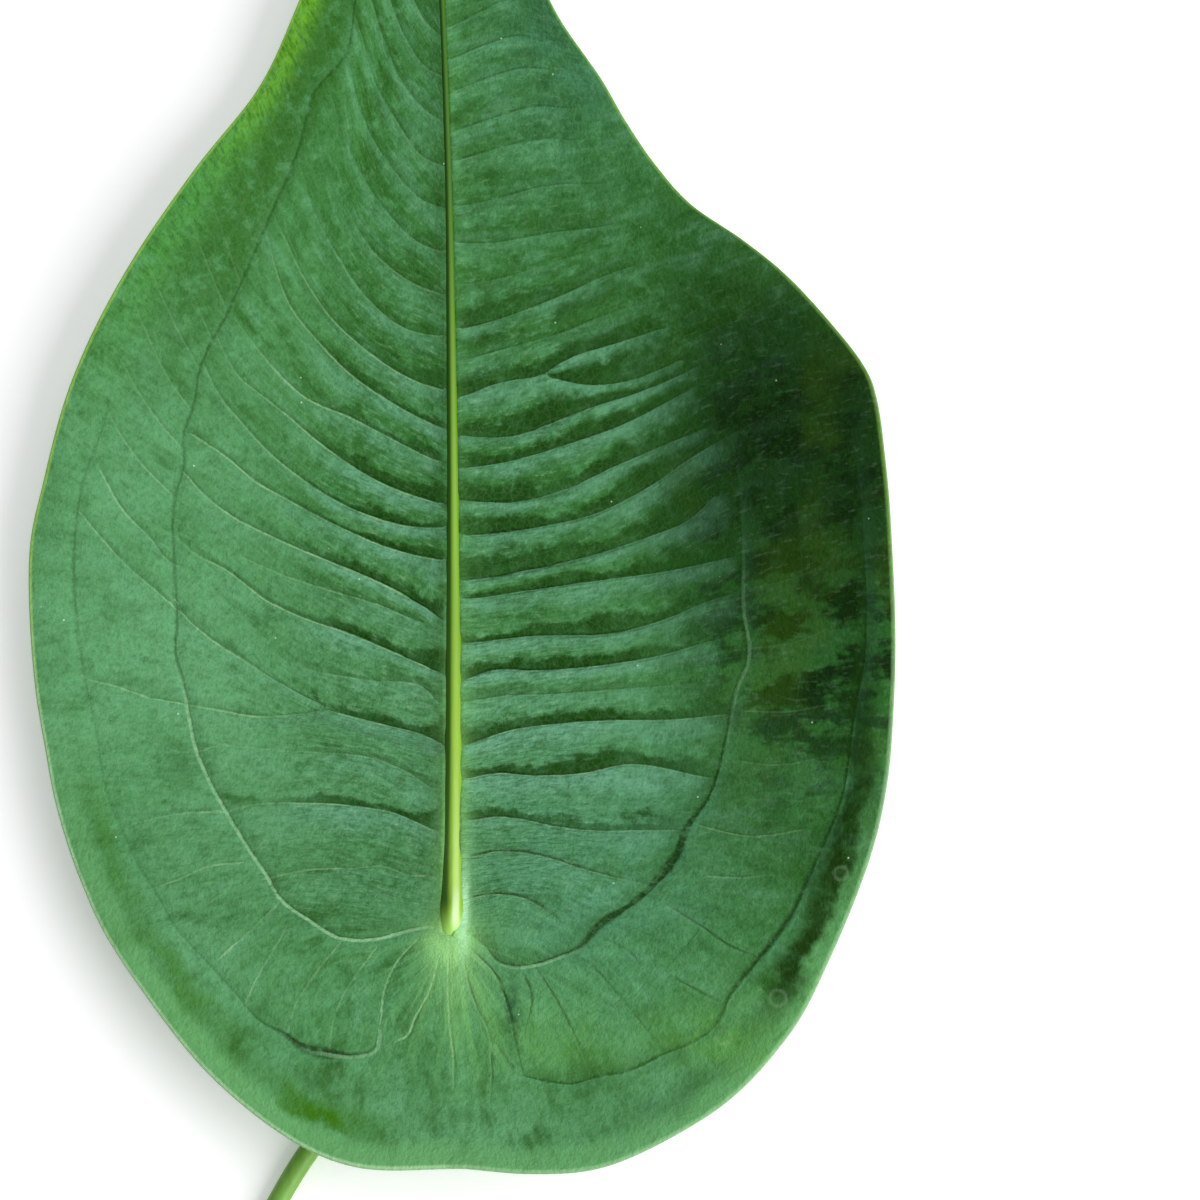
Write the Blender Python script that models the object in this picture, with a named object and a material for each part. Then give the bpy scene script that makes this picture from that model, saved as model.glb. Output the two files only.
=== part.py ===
"""An anthurium leaf picked with its stalk and laid on a table: the quilted, cupped blade, and the stalk
whose midrib runs up the middle of it. The tip points along +Y, and the table is Z = 0."""

import bpy
import bmesh
import numpy as np

MM = 0.001

# Where the stalk joins the blade, from the middle of the whole leaf's footprint, in millimetres.
JUNCTION = (1.9, -63.0, 0.0)

BLADE_THICKNESS = 0.8

# Room between the blade's edge and the midrib, and how much more there is at the midrib's foot.
SLOT_GAP = 0.4
FOOT_SPARE = 0.4
FOOT_LENGTH = 8.0

# Depth of the sunken side veins, at most this share of the space between two of them.
VEIN_DEPTH = 0.9
VEIN_DEPTH_SHARE = 0.1

# Depth of the two lengthwise veins, and how far the rim rolls down. All three grow with the blade's width.
COLLECTIVE_DEPTH = 0.6
OUTER_DEPTH = 0.35
RIM_ROLL = 0.9
FULL_DEPTH_WIDTH = 12.0

# The midrib from the joint to its end: distance along Y, sideways place, height of the blade beside it,
# how far the blade sinks into a trough on both sides of it, half its width, and its reach above and below.
MIDRIB = (
    (0.0, 0.0, 12.0, 0.0, 2.4, 1.1, 2.3),
    (14.0, -0.1, 9.0, 0.3, 2.1, 1.2, 2.2),
    (35.0, -0.3, 4.4, 0.9, 1.7, 1.2, 2.1),
    (60.0, -0.6, 2.6, 1.0, 1.5, 1.2, 2.6),
    (90.0, -1.0, 2.4, 1.0, 1.2, 1.2, 2.6),
    (130.0, -1.8, 2.6, 1.0, 0.95, 1.15, 2.6),
    (160.0, -2.5, 4.6, 0.9, 0.75, 1.0, 1.6),
    (190.0, -3.6, 8.2, 0.7, 0.65, 0.9, 1.3),
    (215.0, -4.8, 9.8, 0.6, 0.6, 0.85, 1.1),
    (235.0, -5.5, 8.6, 0.4, 0.55, 0.8, 1.0),
    (252.0, -6.0, 5.0, 0.2, 0.5, 0.75, 0.8),
    (265.0, -6.4, 2.2, 0.0, 0.42, 0.7, 0.6),
    (271.0, -6.6, 1.8, 0.0, 0.32, 0.6, 0.45),
)
SLOT_END = 280.0
TROUGH_WIDTH = 9.0

# The section between the petiole and the midrib: place of its middle, half width, rise and keel.
MIDRIB_FOOT = (0.0, 8.0, 10.4, 2.2, 1.3, 2.5)

# The petiole from the joint to its cut end: place of its middle, radius.
PETIOLE = (
    (0.0, 3.6, 10.5, 2.5),
    (-0.1, 0.6, 9.4, 2.7),
    (-0.8, -2.8, 7.7, 2.8),
    (-2.6, -7.0, 6.1, 2.75),
    (-6.0, -12.5, 4.6, 2.6),
    (-11.5, -20.0, 3.3, 2.4),
    (-20.0, -31.0, 2.4, 2.2),
    (-29.4, -43.5, 2.1, 2.1),
    (-41.0, -65.0, 2.1, 2.05),
    (-56.0, -95.0, 2.1, 2.05),
    (-72.0, -126.0, 2.1, 2.1),
    (-91.0, -160.0, 2.2, 2.25),
)

# Side veins, each from the midrib to the margin: where it starts along the midrib, then its place in the
# belly, at the collective vein and at the margin, the margin's height, and the width of the rim band.
# Those that start below zero leave the joint itself and fan through the basal lobe.
LEFT_VEINS = (
    (-3.2, (0.0, -10.0), (0.5, -19.0), (3.5, -46.5), 19.0, 17.6),
    (-3.0, (-7.0, -9.0), (-12.0, -15.0), (-18.5, -46.0), 19.0, 20.0),
    (-2.3, (-12.0, -4.5), (-21.0, -8.5), (-33.5, -39.0), 18.0, 18.0),
    (-1.2, (-14.5, -0.5), (-26.5, -2.5), (-48.0, -27.0), 17.0, 13.2),
    (0.8, (-16.0, 3.0), (-32.5, 2.5), (-61.5, -10.5), 16.0, 12.4),
    (4.0, (-17.5, 7.5), (-37.0, 8.5), (-69.0, 0.5), 15.0, 13.6),
    (9.5, (-20.0, 14.0), (-39.5, 14.5), (-73.5, 9.5), 14.0, 14.0),
    (21.0, (-22.0, 27.5), (-46.0, 26.5), (-79.5, 25.5), 13.0, 12.0),
    (32.0, (-25.5, 39.0), (-52.5, 38.5), (-82.5, 38.0), 12.5, 10.8),
    (37.0, (-26.0, 43.5), (-55.0, 48.0), (-85.0, 50.0), 12.0, 10.4),
    (42.0, (-27.0, 49.0), (-58.0, 68.0), (-87.5, 77.5), 12.0, 9.6),
    (56.0, (-28.5, 66.5), (-59.0, 84.0), (-85.0, 94.5), 13.0, 8.8),
    (67.0, (-29.0, 80.5), (-57.5, 98.0), (-81.0, 112.0), 14.0, 8.8),
    (80.5, (-29.0, 90.0), (-56.0, 107.5), (-77.5, 122.0), 14.5, 8.4),
    (92.0, (-27.0, 104.0), (-51.0, 126.5), (-68.5, 141.0), 15.0, 8.0),
    (108.5, (-25.0, 122.5), (-44.5, 144.0), (-56.0, 161.5), 15.0, 7.2),
    (129.0, (-21.5, 140.5), (-36.5, 164.5), (-43.0, 181.0), 13.0, 6.0),
    (148.0, (-18.5, 162.5), (-27.5, 186.5), (-35.5, 198.0), 14.0, 5.6),
    (172.0, (-15.5, 186.5), (-23.5, 204.5), (-31.0, 212.5), 13.0, 4.8),
    (196.5, (-13.0, 211.0), (-19.5, 225.0), (-26.0, 230.5), 11.0, 4.0),
    (220.5, (-11.0, 232.5), (-15.5, 242.5), (-21.0, 245.5), 9.0, 3.2),
    (244.5, (-9.5, 254.5), (-12.5, 260.0), (-15.5, 261.0), 7.0, 2.4),
    (270.0, (-8.5, 273.5), (-9.5, 275.0), (-11.0, 275.5), 5.0, 1.2),
    (280.0, (-6.6, 282.5), (-6.6, 284.5), (-6.6, 287.0), 2.0, 0.8),
)
RIGHT_VEINS = (
    (-3.2, (0.0, -10.0), (0.5, -19.0), (3.5, -46.5), 19.0, 17.6),
    (-3.0, (4.0, -10.0), (8.0, -19.0), (16.5, -47.5), 19.0, 18.0),
    (-2.3, (8.5, -8.0), (15.5, -15.5), (31.0, -46.0), 18.5, 16.8),
    (-1.2, (11.5, -4.5), (22.0, -10.5), (49.5, -37.0), 18.0, 14.8),
    (5.0, (13.5, 7.0), (29.0, -0.5), (66.0, -21.5), 18.0, 13.6),
    (14.0, (19.5, 15.5), (40.5, 9.5), (75.5, -4.5), 18.0, 12.8),
    (22.5, (20.5, 23.0), (47.5, 22.5), (83.5, 15.0), 19.0, 11.2),
    (32.5, (26.0, 34.5), (53.0, 32.5), (87.0, 29.5), 20.0, 8.0),
    (39.5, (27.5, 45.5), (56.5, 47.0), (88.5, 45.0), 21.5, 6.8),
    (53.5, (29.0, 57.5), (60.5, 62.5), (89.0, 61.5), 23.5, 5.6),
    (62.0, (31.0, 66.0), (60.5, 74.0), (88.5, 78.0), 25.5, 5.2),
    (75.0, (31.0, 80.0), (59.5, 93.0), (87.5, 94.0), 27.0, 5.2),
    (85.0, (29.0, 90.0), (58.0, 104.5), (86.0, 107.0), 27.5, 5.6),
    (99.5, (27.5, 105.0), (54.0, 116.0), (83.0, 116.0), 26.0, 6.0),
    (107.0, (23.5, 112.0), (50.5, 124.0), (77.0, 125.5), 23.0, 6.4),
    (115.5, (21.5, 122.0), (46.5, 132.0), (69.5, 135.5), 20.0, 6.4),
    (130.0, (19.5, 137.0), (38.5, 143.5), (60.0, 146.0), 15.0, 6.0),
    (148.5, (16.0, 151.5), (33.5, 153.5), (48.0, 156.5), 11.0, 5.2),
    (158.0, (14.5, 161.5), (29.5, 162.5), (41.5, 165.0), 9.5, 4.8),
    (170.5, (11.5, 174.0), (24.0, 175.0), (35.0, 175.0), 10.0, 4.8),
    (183.0, (8.5, 187.0), (18.5, 187.0), (30.0, 184.0), 11.0, 4.4),
    (197.5, (5.0, 201.5), (12.0, 202.5), (20.5, 198.5), 12.0, 4.0),
    (218.0, (2.5, 222.0), (8.0, 224.0), (13.5, 217.5), 11.0, 3.6),
    (239.0, (-0.5, 244.0), (3.5, 246.5), (7.5, 241.0), 9.0, 2.8),
    (259.0, (-3.5, 263.5), (-1.5, 266.0), (2.0, 262.0), 7.0, 2.0),
    (270.5, (-5.0, 274.5), (-4.0, 276.0), (-2.5, 275.0), 4.5, 1.2),
    (280.0, (-6.6, 282.5), (-6.6, 284.5), (-6.6, 287.0), 2.0, 0.8),
)

# How far each side stays flat before it climbs to its margin, and how steeply it then climbs.
LEFT_WALL = (0.30, 1.8)
RIGHT_WALL = (0.45, 1.6)

# Rows between two veins, as shares of the way, and the share at which the panel between them stands highest.
ROW_SHARES = (0.0, 0.22, 0.6)
PANEL_CREST = 0.3

# Columns from the midrib (0) through the belly (1), the collective vein (2) and the outer vein (3) to the
# margin (4), half the widths of those two veins and the start of the rim, and how the side veins fade.
COLUMNS = (0.0, 0.25, 0.6, 1.0, 1.35, 1.65, 1.88, 2.0, 2.12, 2.5, 2.85, 3.0, 3.2, 3.6, 4.0)
COLLECTIVE_HALF = 0.12
OUTER_HALF = 0.15
RIM_START = 3.2
FADE_COLUMNS = (0.0, 0.25, 2.0, 3.0, 4.0)
FADE_SHARES = (0.3, 1.0, 0.8, 0.35, 0.1)

STALK_SIDES = 14
STALK_STEP = 6.0

for old in list(bpy.data.objects):
    bpy.data.objects.remove(old, do_unlink=True)


def smooth(knots, values, at):
    """The values at the knots joined by one smooth curve, read at one place."""
    knots = np.asarray(knots, float)
    values = np.asarray(values, float)
    slopes = np.gradient(values, knots, axis=0)
    k = int(np.clip(np.searchsorted(knots, at, side="right") - 1, 0, len(knots) - 2))
    width = knots[k + 1] - knots[k]
    u = (at - knots[k]) / width
    start = (1 + 2 * u) * (1 - u) ** 2 * values[k] + u * (1 - u) ** 2 * width * slopes[k]
    end = u * u * (3 - 2 * u) * values[k + 1] + u * u * (u - 1) * width * slopes[k + 1]
    return start + end


def running_length(points):
    """How far along a line of points each of them lies."""
    return np.concatenate([[0.0], np.cumsum(np.linalg.norm(np.diff(points, axis=0), axis=1))])


def midrib_at(y):
    """Sideways place, blade height, trough, half width, rise and keel of the midrib this far along it."""
    table = np.array(MIDRIB)
    return smooth(table[:, 0], table[:, 1:], min(max(y, 0.0), table[-1, 0]))


def slot_point(start, side):
    """The blade's edge beside the midrib, where a side vein leaves it."""
    if start < 0:
        foot = MIDRIB[0][4] + SLOT_GAP + FOOT_SPARE
        return side * np.sqrt(max(foot**2 - start**2, 0.0)), start
    if start > MIDRIB[-1][0]:
        return MIDRIB[-1][1], SLOT_END
    x, _, _, half, _, _ = midrib_at(start)
    spare = SLOT_GAP + FOOT_SPARE * max(0.0, 1 - start / FOOT_LENGTH)
    return x + side * (half + spare), start


def vein_stations(veins, side):
    """For each side vein, its five places: slot, belly, collective vein, outer vein and margin."""
    stations = []
    for start, belly, collective, margin, _, band in veins:
        inward = np.subtract(collective, margin)
        outer = np.add(margin, inward * band / np.linalg.norm(inward))
        stations.append([slot_point(start, side), belly, collective, outer, margin])
    return np.array(stations, float)


def row_of_points(places, margin_height, wall, into, spacing):
    """One row of the blade's middle surface, from slot to margin. into says how near a vein it runs."""
    reach = running_length(places)
    flat_from, power = wall
    full = min(1.0, (reach[3] - reach[2]) / FULL_DEPTH_WIDTH)
    line = []
    for column in COLUMNS:
        base = min(int(column), 3)
        run = reach[base] + (column - base) * (reach[base + 1] - reach[base])
        x, y = smooth(reach, places, run)
        _, rib_height, trough, _, _, _ = midrib_at(y)
        beside = rib_height - trough * (1 - max(0.0, 1 - run / TROUGH_WIDTH) ** 2)
        climb = max(0.0, (run / reach[-1] - flat_from) / (1 - flat_from)) ** power
        depth = min(VEIN_DEPTH, VEIN_DEPTH_SHARE * np.interp(column, range(5), spacing))
        sunk = depth * np.interp(column, FADE_COLUMNS, FADE_SHARES) * into
        sunk += full * COLLECTIVE_DEPTH * max(0.0, 1 - abs(column - 2.0) / COLLECTIVE_HALF)
        sunk += full * OUTER_DEPTH * max(0.0, 1 - abs(column - 3.0) / OUTER_HALF)
        sunk += full * RIM_ROLL * max(0.0, (column - RIM_START) / (4.0 - RIM_START)) ** 2
        line.append((x, y, beside + (margin_height - beside) * climb - sunk))
    return line


def side_surface(veins, side, wall):
    """The blade's middle surface on one side of the midrib, by rows from base to tip."""
    stations = vein_stations(veins, side)
    heights = np.array([vein[4] for vein in veins])
    steps = np.linalg.norm(np.diff(stations[:, 1:4], axis=0), axis=2).mean(axis=1)
    along = np.concatenate([[0.0], np.cumsum(steps)])
    between = np.linalg.norm(np.diff(stations, axis=0), axis=2)
    last = len(veins) - 2
    rows = [(k, share) for k in range(last + 1) for share in ROW_SHARES] + [(last, 1.0)]
    surface = []
    for k, share in rows:
        at = along[k] + share * (along[k + 1] - along[k])
        if share < PANEL_CREST:
            into = (1 - share / PANEL_CREST) ** 2
        else:
            into = ((share - PANEL_CREST) / (1 - PANEL_CREST)) ** 2
        spacing = between[max(k - 1, 0):k + 1].min(axis=0) if share == 0.0 else between[k]
        places = smooth(along, stations, at)
        surface.append(row_of_points(places, smooth(along, heights, at), wall, into, spacing))
    return surface


def place(point):
    """From the leaf's own millimetres to metres in the shared frame."""
    return tuple(MM * (value + offset) for value, offset in zip(point, JUNCTION))


def grid_through(rows):
    """A grid whose first and last rows are one, laid through rows of points."""
    surface = bmesh.new()
    around, across = len(rows) - 1, len(rows[0]) - 1
    bmesh.ops.create_grid(surface, x_segments=around, y_segments=across, size=0.5)
    for vert in surface.verts:
        row = round((vert.co.x + 0.5) * around)
        column = round((vert.co.y + 0.5) * across)
        vert.co = place(rows[row][column])
    bmesh.ops.remove_doubles(surface, verts=surface.verts, dist=1e-6)
    return surface


def finish(surface, name, material_name, colour, roughness):
    """Makes the surface a named object with its own plain material."""
    mesh = bpy.data.meshes.new(name)
    surface.to_mesh(mesh)
    surface.free()
    mesh.polygons.foreach_set("use_smooth", [True] * len(mesh.polygons))
    material = bpy.data.materials.new(material_name)
    material.use_nodes = True
    shader = material.node_tree.nodes["Principled BSDF"]
    shader.inputs["Base Color"].default_value = (*colour, 1.0)
    shader.inputs["Roughness"].default_value = roughness
    shader.inputs["Metallic"].default_value = 0.0
    mesh.materials.append(material)
    obj = bpy.data.objects.new(name, mesh)
    bpy.context.scene.collection.objects.link(obj)
    return obj


def build_blade():
    """The sheet runs once round the midrib's slot: up the left side to the tip, and down the right side."""
    left = side_surface(LEFT_VEINS, -1, LEFT_WALL)
    right = side_surface(RIGHT_VEINS, 1, RIGHT_WALL)
    sheet = grid_through(left + right[::-1][1:-1] + left[:1])
    bmesh.ops.triangulate(sheet, faces=sheet.faces, quad_method="SHORT_EDGE")
    bmesh.ops.recalc_face_normals(sheet, faces=sheet.faces)
    if sum(face.normal.z for face in sheet.faces) < 0:
        bmesh.ops.reverse_faces(sheet, faces=sheet.faces)
    blade = finish(sheet, "leaf_blade", "leaf_green", (0.06, 0.25, 0.05), 0.4)
    thicken = blade.modifiers.new("thickness", "SOLIDIFY")
    thicken.thickness = BLADE_THICKNESS * MM
    thicken.offset = 0.0


def build_stalk():
    """The petiole lies on the table, rises into the knee and passes through the slot to become the midrib."""
    sections = [(x, y, z, radius, radius, radius) for x, y, z, radius in PETIOLE[::-1]]
    sections.append(MIDRIB_FOOT)
    sections += [(x, y, z, half, rise, keel) for y, x, z, _, half, rise, keel in MIDRIB[1:]]
    table = np.array(sections)
    run = running_length(table[:, :3])
    stops = []
    for start, end in zip(run[:-1], run[1:]):
        stops += list(np.linspace(start, end, int(np.ceil((end - start) / STALK_STEP)), endpoint=False))
    rings = []
    for stop in stops + [run[-1]]:
        x, y, z, half, rise, keel = smooth(run, table, stop)
        forward = smooth(run, table[:, :3], min(stop + 0.5, run[-1]))
        forward = forward - smooth(run, table[:, :3], max(stop - 0.5, 0.0))
        sideways = np.cross(forward, (0.0, 0.0, 1.0))
        sideways /= np.linalg.norm(sideways)
        upward = np.cross(sideways, forward) / np.linalg.norm(forward)
        ring = []
        for angle in np.linspace(0.0, 2 * np.pi, STALK_SIDES + 1):
            height = rise if np.sin(angle) > 0 else keel
            point = (x, y, z) + sideways * half * np.cos(angle) + upward * height * np.sin(angle)
            ring.append((point[0], point[1], max(point[2], 0.0)))
        rings.append(ring[:-1] + ring[:1])
    rod = grid_through([list(line) for line in zip(*rings)])
    bmesh.ops.holes_fill(rod, edges=rod.edges, sides=0)
    bmesh.ops.recalc_face_normals(rod, faces=rod.faces)
    bmesh.ops.triangulate(rod, faces=rod.faces)
    finish(rod, "stalk", "stalk_yellow_green", (0.30, 0.42, 0.06), 0.45)


build_blade()
build_stalk()
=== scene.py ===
"""An anthurium leaf picked with its stalk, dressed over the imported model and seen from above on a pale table."""

import math

import bmesh
import bpy
import numpy as np
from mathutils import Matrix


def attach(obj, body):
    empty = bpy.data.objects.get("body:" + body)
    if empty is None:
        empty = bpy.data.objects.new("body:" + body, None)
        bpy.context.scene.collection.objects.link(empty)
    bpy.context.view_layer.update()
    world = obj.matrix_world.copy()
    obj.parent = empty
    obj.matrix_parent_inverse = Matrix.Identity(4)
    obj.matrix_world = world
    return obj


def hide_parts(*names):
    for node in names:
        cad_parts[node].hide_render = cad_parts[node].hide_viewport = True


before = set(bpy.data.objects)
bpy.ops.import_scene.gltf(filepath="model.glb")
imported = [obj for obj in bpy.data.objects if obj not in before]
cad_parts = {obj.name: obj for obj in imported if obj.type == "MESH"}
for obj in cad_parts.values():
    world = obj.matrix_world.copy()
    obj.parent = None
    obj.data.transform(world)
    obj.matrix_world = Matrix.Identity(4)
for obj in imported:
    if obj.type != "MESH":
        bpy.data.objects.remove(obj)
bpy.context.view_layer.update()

# The camera looks down on the leaf from the stalk's side. The joint of stalk and blade is the point that
# the photograph and the model share, and one pixel of the photograph is 0.2 mm there.
MM = 0.001
joint = (1.9, -63.0, 0.0)
camera_data = bpy.data.cameras.new("camera")
camera_data.lens = 100.0
camera_data.sensor_width = 36.0
camera_data.clip_start = 0.01
camera_data.clip_end = 10.0
camera = bpy.data.objects.new("camera", camera_data)
camera.location = (0.0317, -0.1593, 0.6751)
camera.rotation_euler = (math.radians(14.0), 0.0, 0.0)
bpy.context.scene.collection.objects.link(camera)
bpy.context.scene.camera = camera


# The blade is one leathery sheet, heart-shaped and cupped, with a raised rim. It grew in quilted panels
# between sunken side veins, which run from the midrib to a lengthwise vein on each side. A second lengthwise
# vein follows the rim. Its upper face is waxy, and its underside is paler and carries the veins as ridges.
blade_thickness = 0.8
edge_tuck = 0.3
foot_radius = 0.3
trough_width = 9.0
left_wall = (0.30, 1.8)
right_wall = (0.45, 1.6)
rim_roll = 0.9
full_relief_width = 12.0

# The midrib from the joint to its end: distance along Y, sideways place, height of the blade beside it,
# how far the blade sinks into a trough on both sides of it, half its width, and its reach above and below.
midrib = (
    (0.0, 0.0, 12.0, 0.0, 2.4, 1.1, 2.3),
    (14.0, -0.1, 9.0, 0.3, 2.1, 1.2, 2.2),
    (35.0, -0.3, 4.4, 0.9, 1.7, 1.2, 2.1),
    (60.0, -0.6, 2.6, 1.0, 1.5, 1.2, 2.6),
    (90.0, -1.0, 2.4, 1.0, 1.2, 1.2, 2.6),
    (130.0, -1.8, 2.6, 1.0, 0.95, 1.15, 2.6),
    (160.0, -2.5, 4.6, 0.9, 0.75, 1.0, 1.6),
    (190.0, -3.6, 8.2, 0.7, 0.65, 0.9, 1.3),
    (215.0, -4.8, 9.8, 0.6, 0.6, 0.85, 1.1),
    (235.0, -5.5, 8.6, 0.4, 0.55, 0.8, 1.0),
    (252.0, -6.0, 5.0, 0.2, 0.5, 0.75, 0.8),
    (265.0, -6.4, 2.2, 0.0, 0.42, 0.7, 0.6),
    (271.0, -6.6, 1.8, 0.0, 0.32, 0.6, 0.45),
)

# Guide lines across each side, from the midrib to the margin: where each starts along the midrib, then its
# place in the belly, at the collective vein and at the margin, the margin's height and the rim band's width.
left_guides = (
    (-3.2, (0.0, -10.0), (0.5, -19.0), (3.5, -46.5), 19.0, 17.6),
    (-3.0, (-7.0, -9.0), (-12.0, -15.0), (-18.5, -46.0), 19.0, 20.0),
    (-2.3, (-12.0, -4.5), (-21.0, -8.5), (-33.5, -39.0), 18.0, 18.0),
    (-1.2, (-14.5, -0.5), (-26.5, -2.5), (-48.0, -27.0), 17.0, 13.2),
    (0.8, (-16.0, 3.0), (-32.5, 2.5), (-61.5, -10.5), 16.0, 12.4),
    (4.0, (-17.5, 7.5), (-37.0, 8.5), (-69.0, 0.5), 15.0, 13.6),
    (9.5, (-20.0, 14.0), (-39.5, 14.5), (-73.5, 9.5), 14.0, 14.0),
    (21.0, (-22.0, 27.5), (-46.0, 26.5), (-79.5, 25.5), 13.0, 12.0),
    (32.0, (-25.5, 39.0), (-52.5, 38.5), (-82.5, 38.0), 12.5, 10.8),
    (37.0, (-26.0, 43.5), (-55.0, 48.0), (-85.0, 50.0), 12.0, 10.4),
    (42.0, (-27.0, 49.0), (-58.0, 68.0), (-87.5, 77.5), 12.0, 9.6),
    (56.0, (-28.5, 66.5), (-59.0, 84.0), (-85.0, 94.5), 13.0, 8.8),
    (67.0, (-29.0, 80.5), (-57.5, 98.0), (-81.0, 112.0), 14.0, 8.8),
    (80.5, (-29.0, 90.0), (-56.0, 107.5), (-77.5, 122.0), 14.5, 8.4),
    (92.0, (-27.0, 104.0), (-51.0, 126.5), (-68.5, 141.0), 15.0, 8.0),
    (108.5, (-25.0, 122.5), (-44.5, 144.0), (-56.0, 161.5), 15.0, 7.2),
    (129.0, (-21.5, 140.5), (-36.5, 164.5), (-43.0, 181.0), 13.0, 6.0),
    (148.0, (-18.5, 162.5), (-27.5, 186.5), (-35.5, 198.0), 14.0, 5.6),
    (172.0, (-15.5, 186.5), (-23.5, 204.5), (-31.0, 212.5), 13.0, 4.8),
    (196.5, (-13.0, 211.0), (-19.5, 225.0), (-26.0, 230.5), 11.0, 4.0),
    (220.5, (-11.0, 232.5), (-15.5, 242.5), (-21.0, 245.5), 9.0, 3.2),
    (244.5, (-9.5, 254.5), (-12.5, 260.0), (-15.5, 261.0), 7.0, 2.4),
    (270.0, (-8.5, 273.5), (-9.5, 275.0), (-11.0, 275.5), 5.0, 1.2),
    (280.0, (-6.6, 282.5), (-6.6, 284.5), (-6.6, 287.0), 2.0, 0.8),
)
right_guides = (
    (-3.2, (0.0, -10.0), (0.5, -19.0), (3.5, -46.5), 19.0, 17.6),
    (-3.0, (4.0, -10.0), (8.0, -19.0), (16.5, -47.5), 19.0, 18.0),
    (-2.3, (8.5, -8.0), (15.5, -15.5), (31.0, -46.0), 18.5, 16.8),
    (-1.2, (11.5, -4.5), (22.0, -10.5), (49.5, -37.0), 18.0, 14.8),
    (5.0, (13.5, 7.0), (29.0, -0.5), (66.0, -21.5), 18.0, 13.6),
    (14.0, (19.5, 15.5), (40.5, 9.5), (75.5, -4.5), 18.0, 12.8),
    (22.5, (20.5, 23.0), (47.5, 22.5), (83.5, 15.0), 19.0, 11.2),
    (32.5, (26.0, 34.5), (53.0, 32.5), (87.0, 29.5), 20.0, 8.0),
    (39.5, (27.5, 45.5), (56.5, 47.0), (88.5, 45.0), 21.5, 6.8),
    (53.5, (29.0, 57.5), (60.5, 62.5), (89.0, 61.5), 23.5, 5.6),
    (62.0, (31.0, 66.0), (60.5, 74.0), (88.5, 78.0), 25.5, 5.2),
    (75.0, (31.0, 80.0), (59.5, 93.0), (87.5, 94.0), 27.0, 5.2),
    (85.0, (29.0, 90.0), (58.0, 104.5), (86.0, 107.0), 27.5, 5.6),
    (99.5, (27.5, 105.0), (54.0, 116.0), (83.0, 116.0), 26.0, 6.0),
    (107.0, (23.5, 112.0), (50.5, 124.0), (77.0, 125.5), 23.0, 6.4),
    (115.5, (21.5, 122.0), (46.5, 132.0), (69.5, 135.5), 20.0, 6.4),
    (130.0, (19.5, 137.0), (38.5, 143.5), (60.0, 146.0), 15.0, 6.0),
    (148.5, (16.0, 151.5), (33.5, 153.5), (48.0, 156.5), 11.0, 5.2),
    (158.0, (14.5, 161.5), (29.5, 162.5), (41.5, 165.0), 9.5, 4.8),
    (170.5, (11.5, 174.0), (24.0, 175.0), (35.0, 175.0), 10.0, 4.8),
    (183.0, (8.5, 187.0), (18.5, 187.0), (30.0, 184.0), 11.0, 4.4),
    (197.5, (5.0, 201.5), (12.0, 202.5), (20.5, 198.5), 12.0, 4.0),
    (218.0, (2.5, 222.0), (8.0, 224.0), (13.5, 217.5), 11.0, 3.6),
    (239.0, (-0.5, 244.0), (3.5, 246.5), (7.5, 241.0), 9.0, 2.8),
    (259.0, (-3.5, 263.5), (-1.5, 266.0), (2.0, 262.0), 7.0, 2.0),
    (270.5, (-5.0, 274.5), (-4.0, 276.0), (-2.5, 275.0), 4.5, 1.2),
    (280.0, (-6.6, 282.5), (-6.6, 284.5), (-6.6, 287.0), 2.0, 0.8),
)

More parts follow.
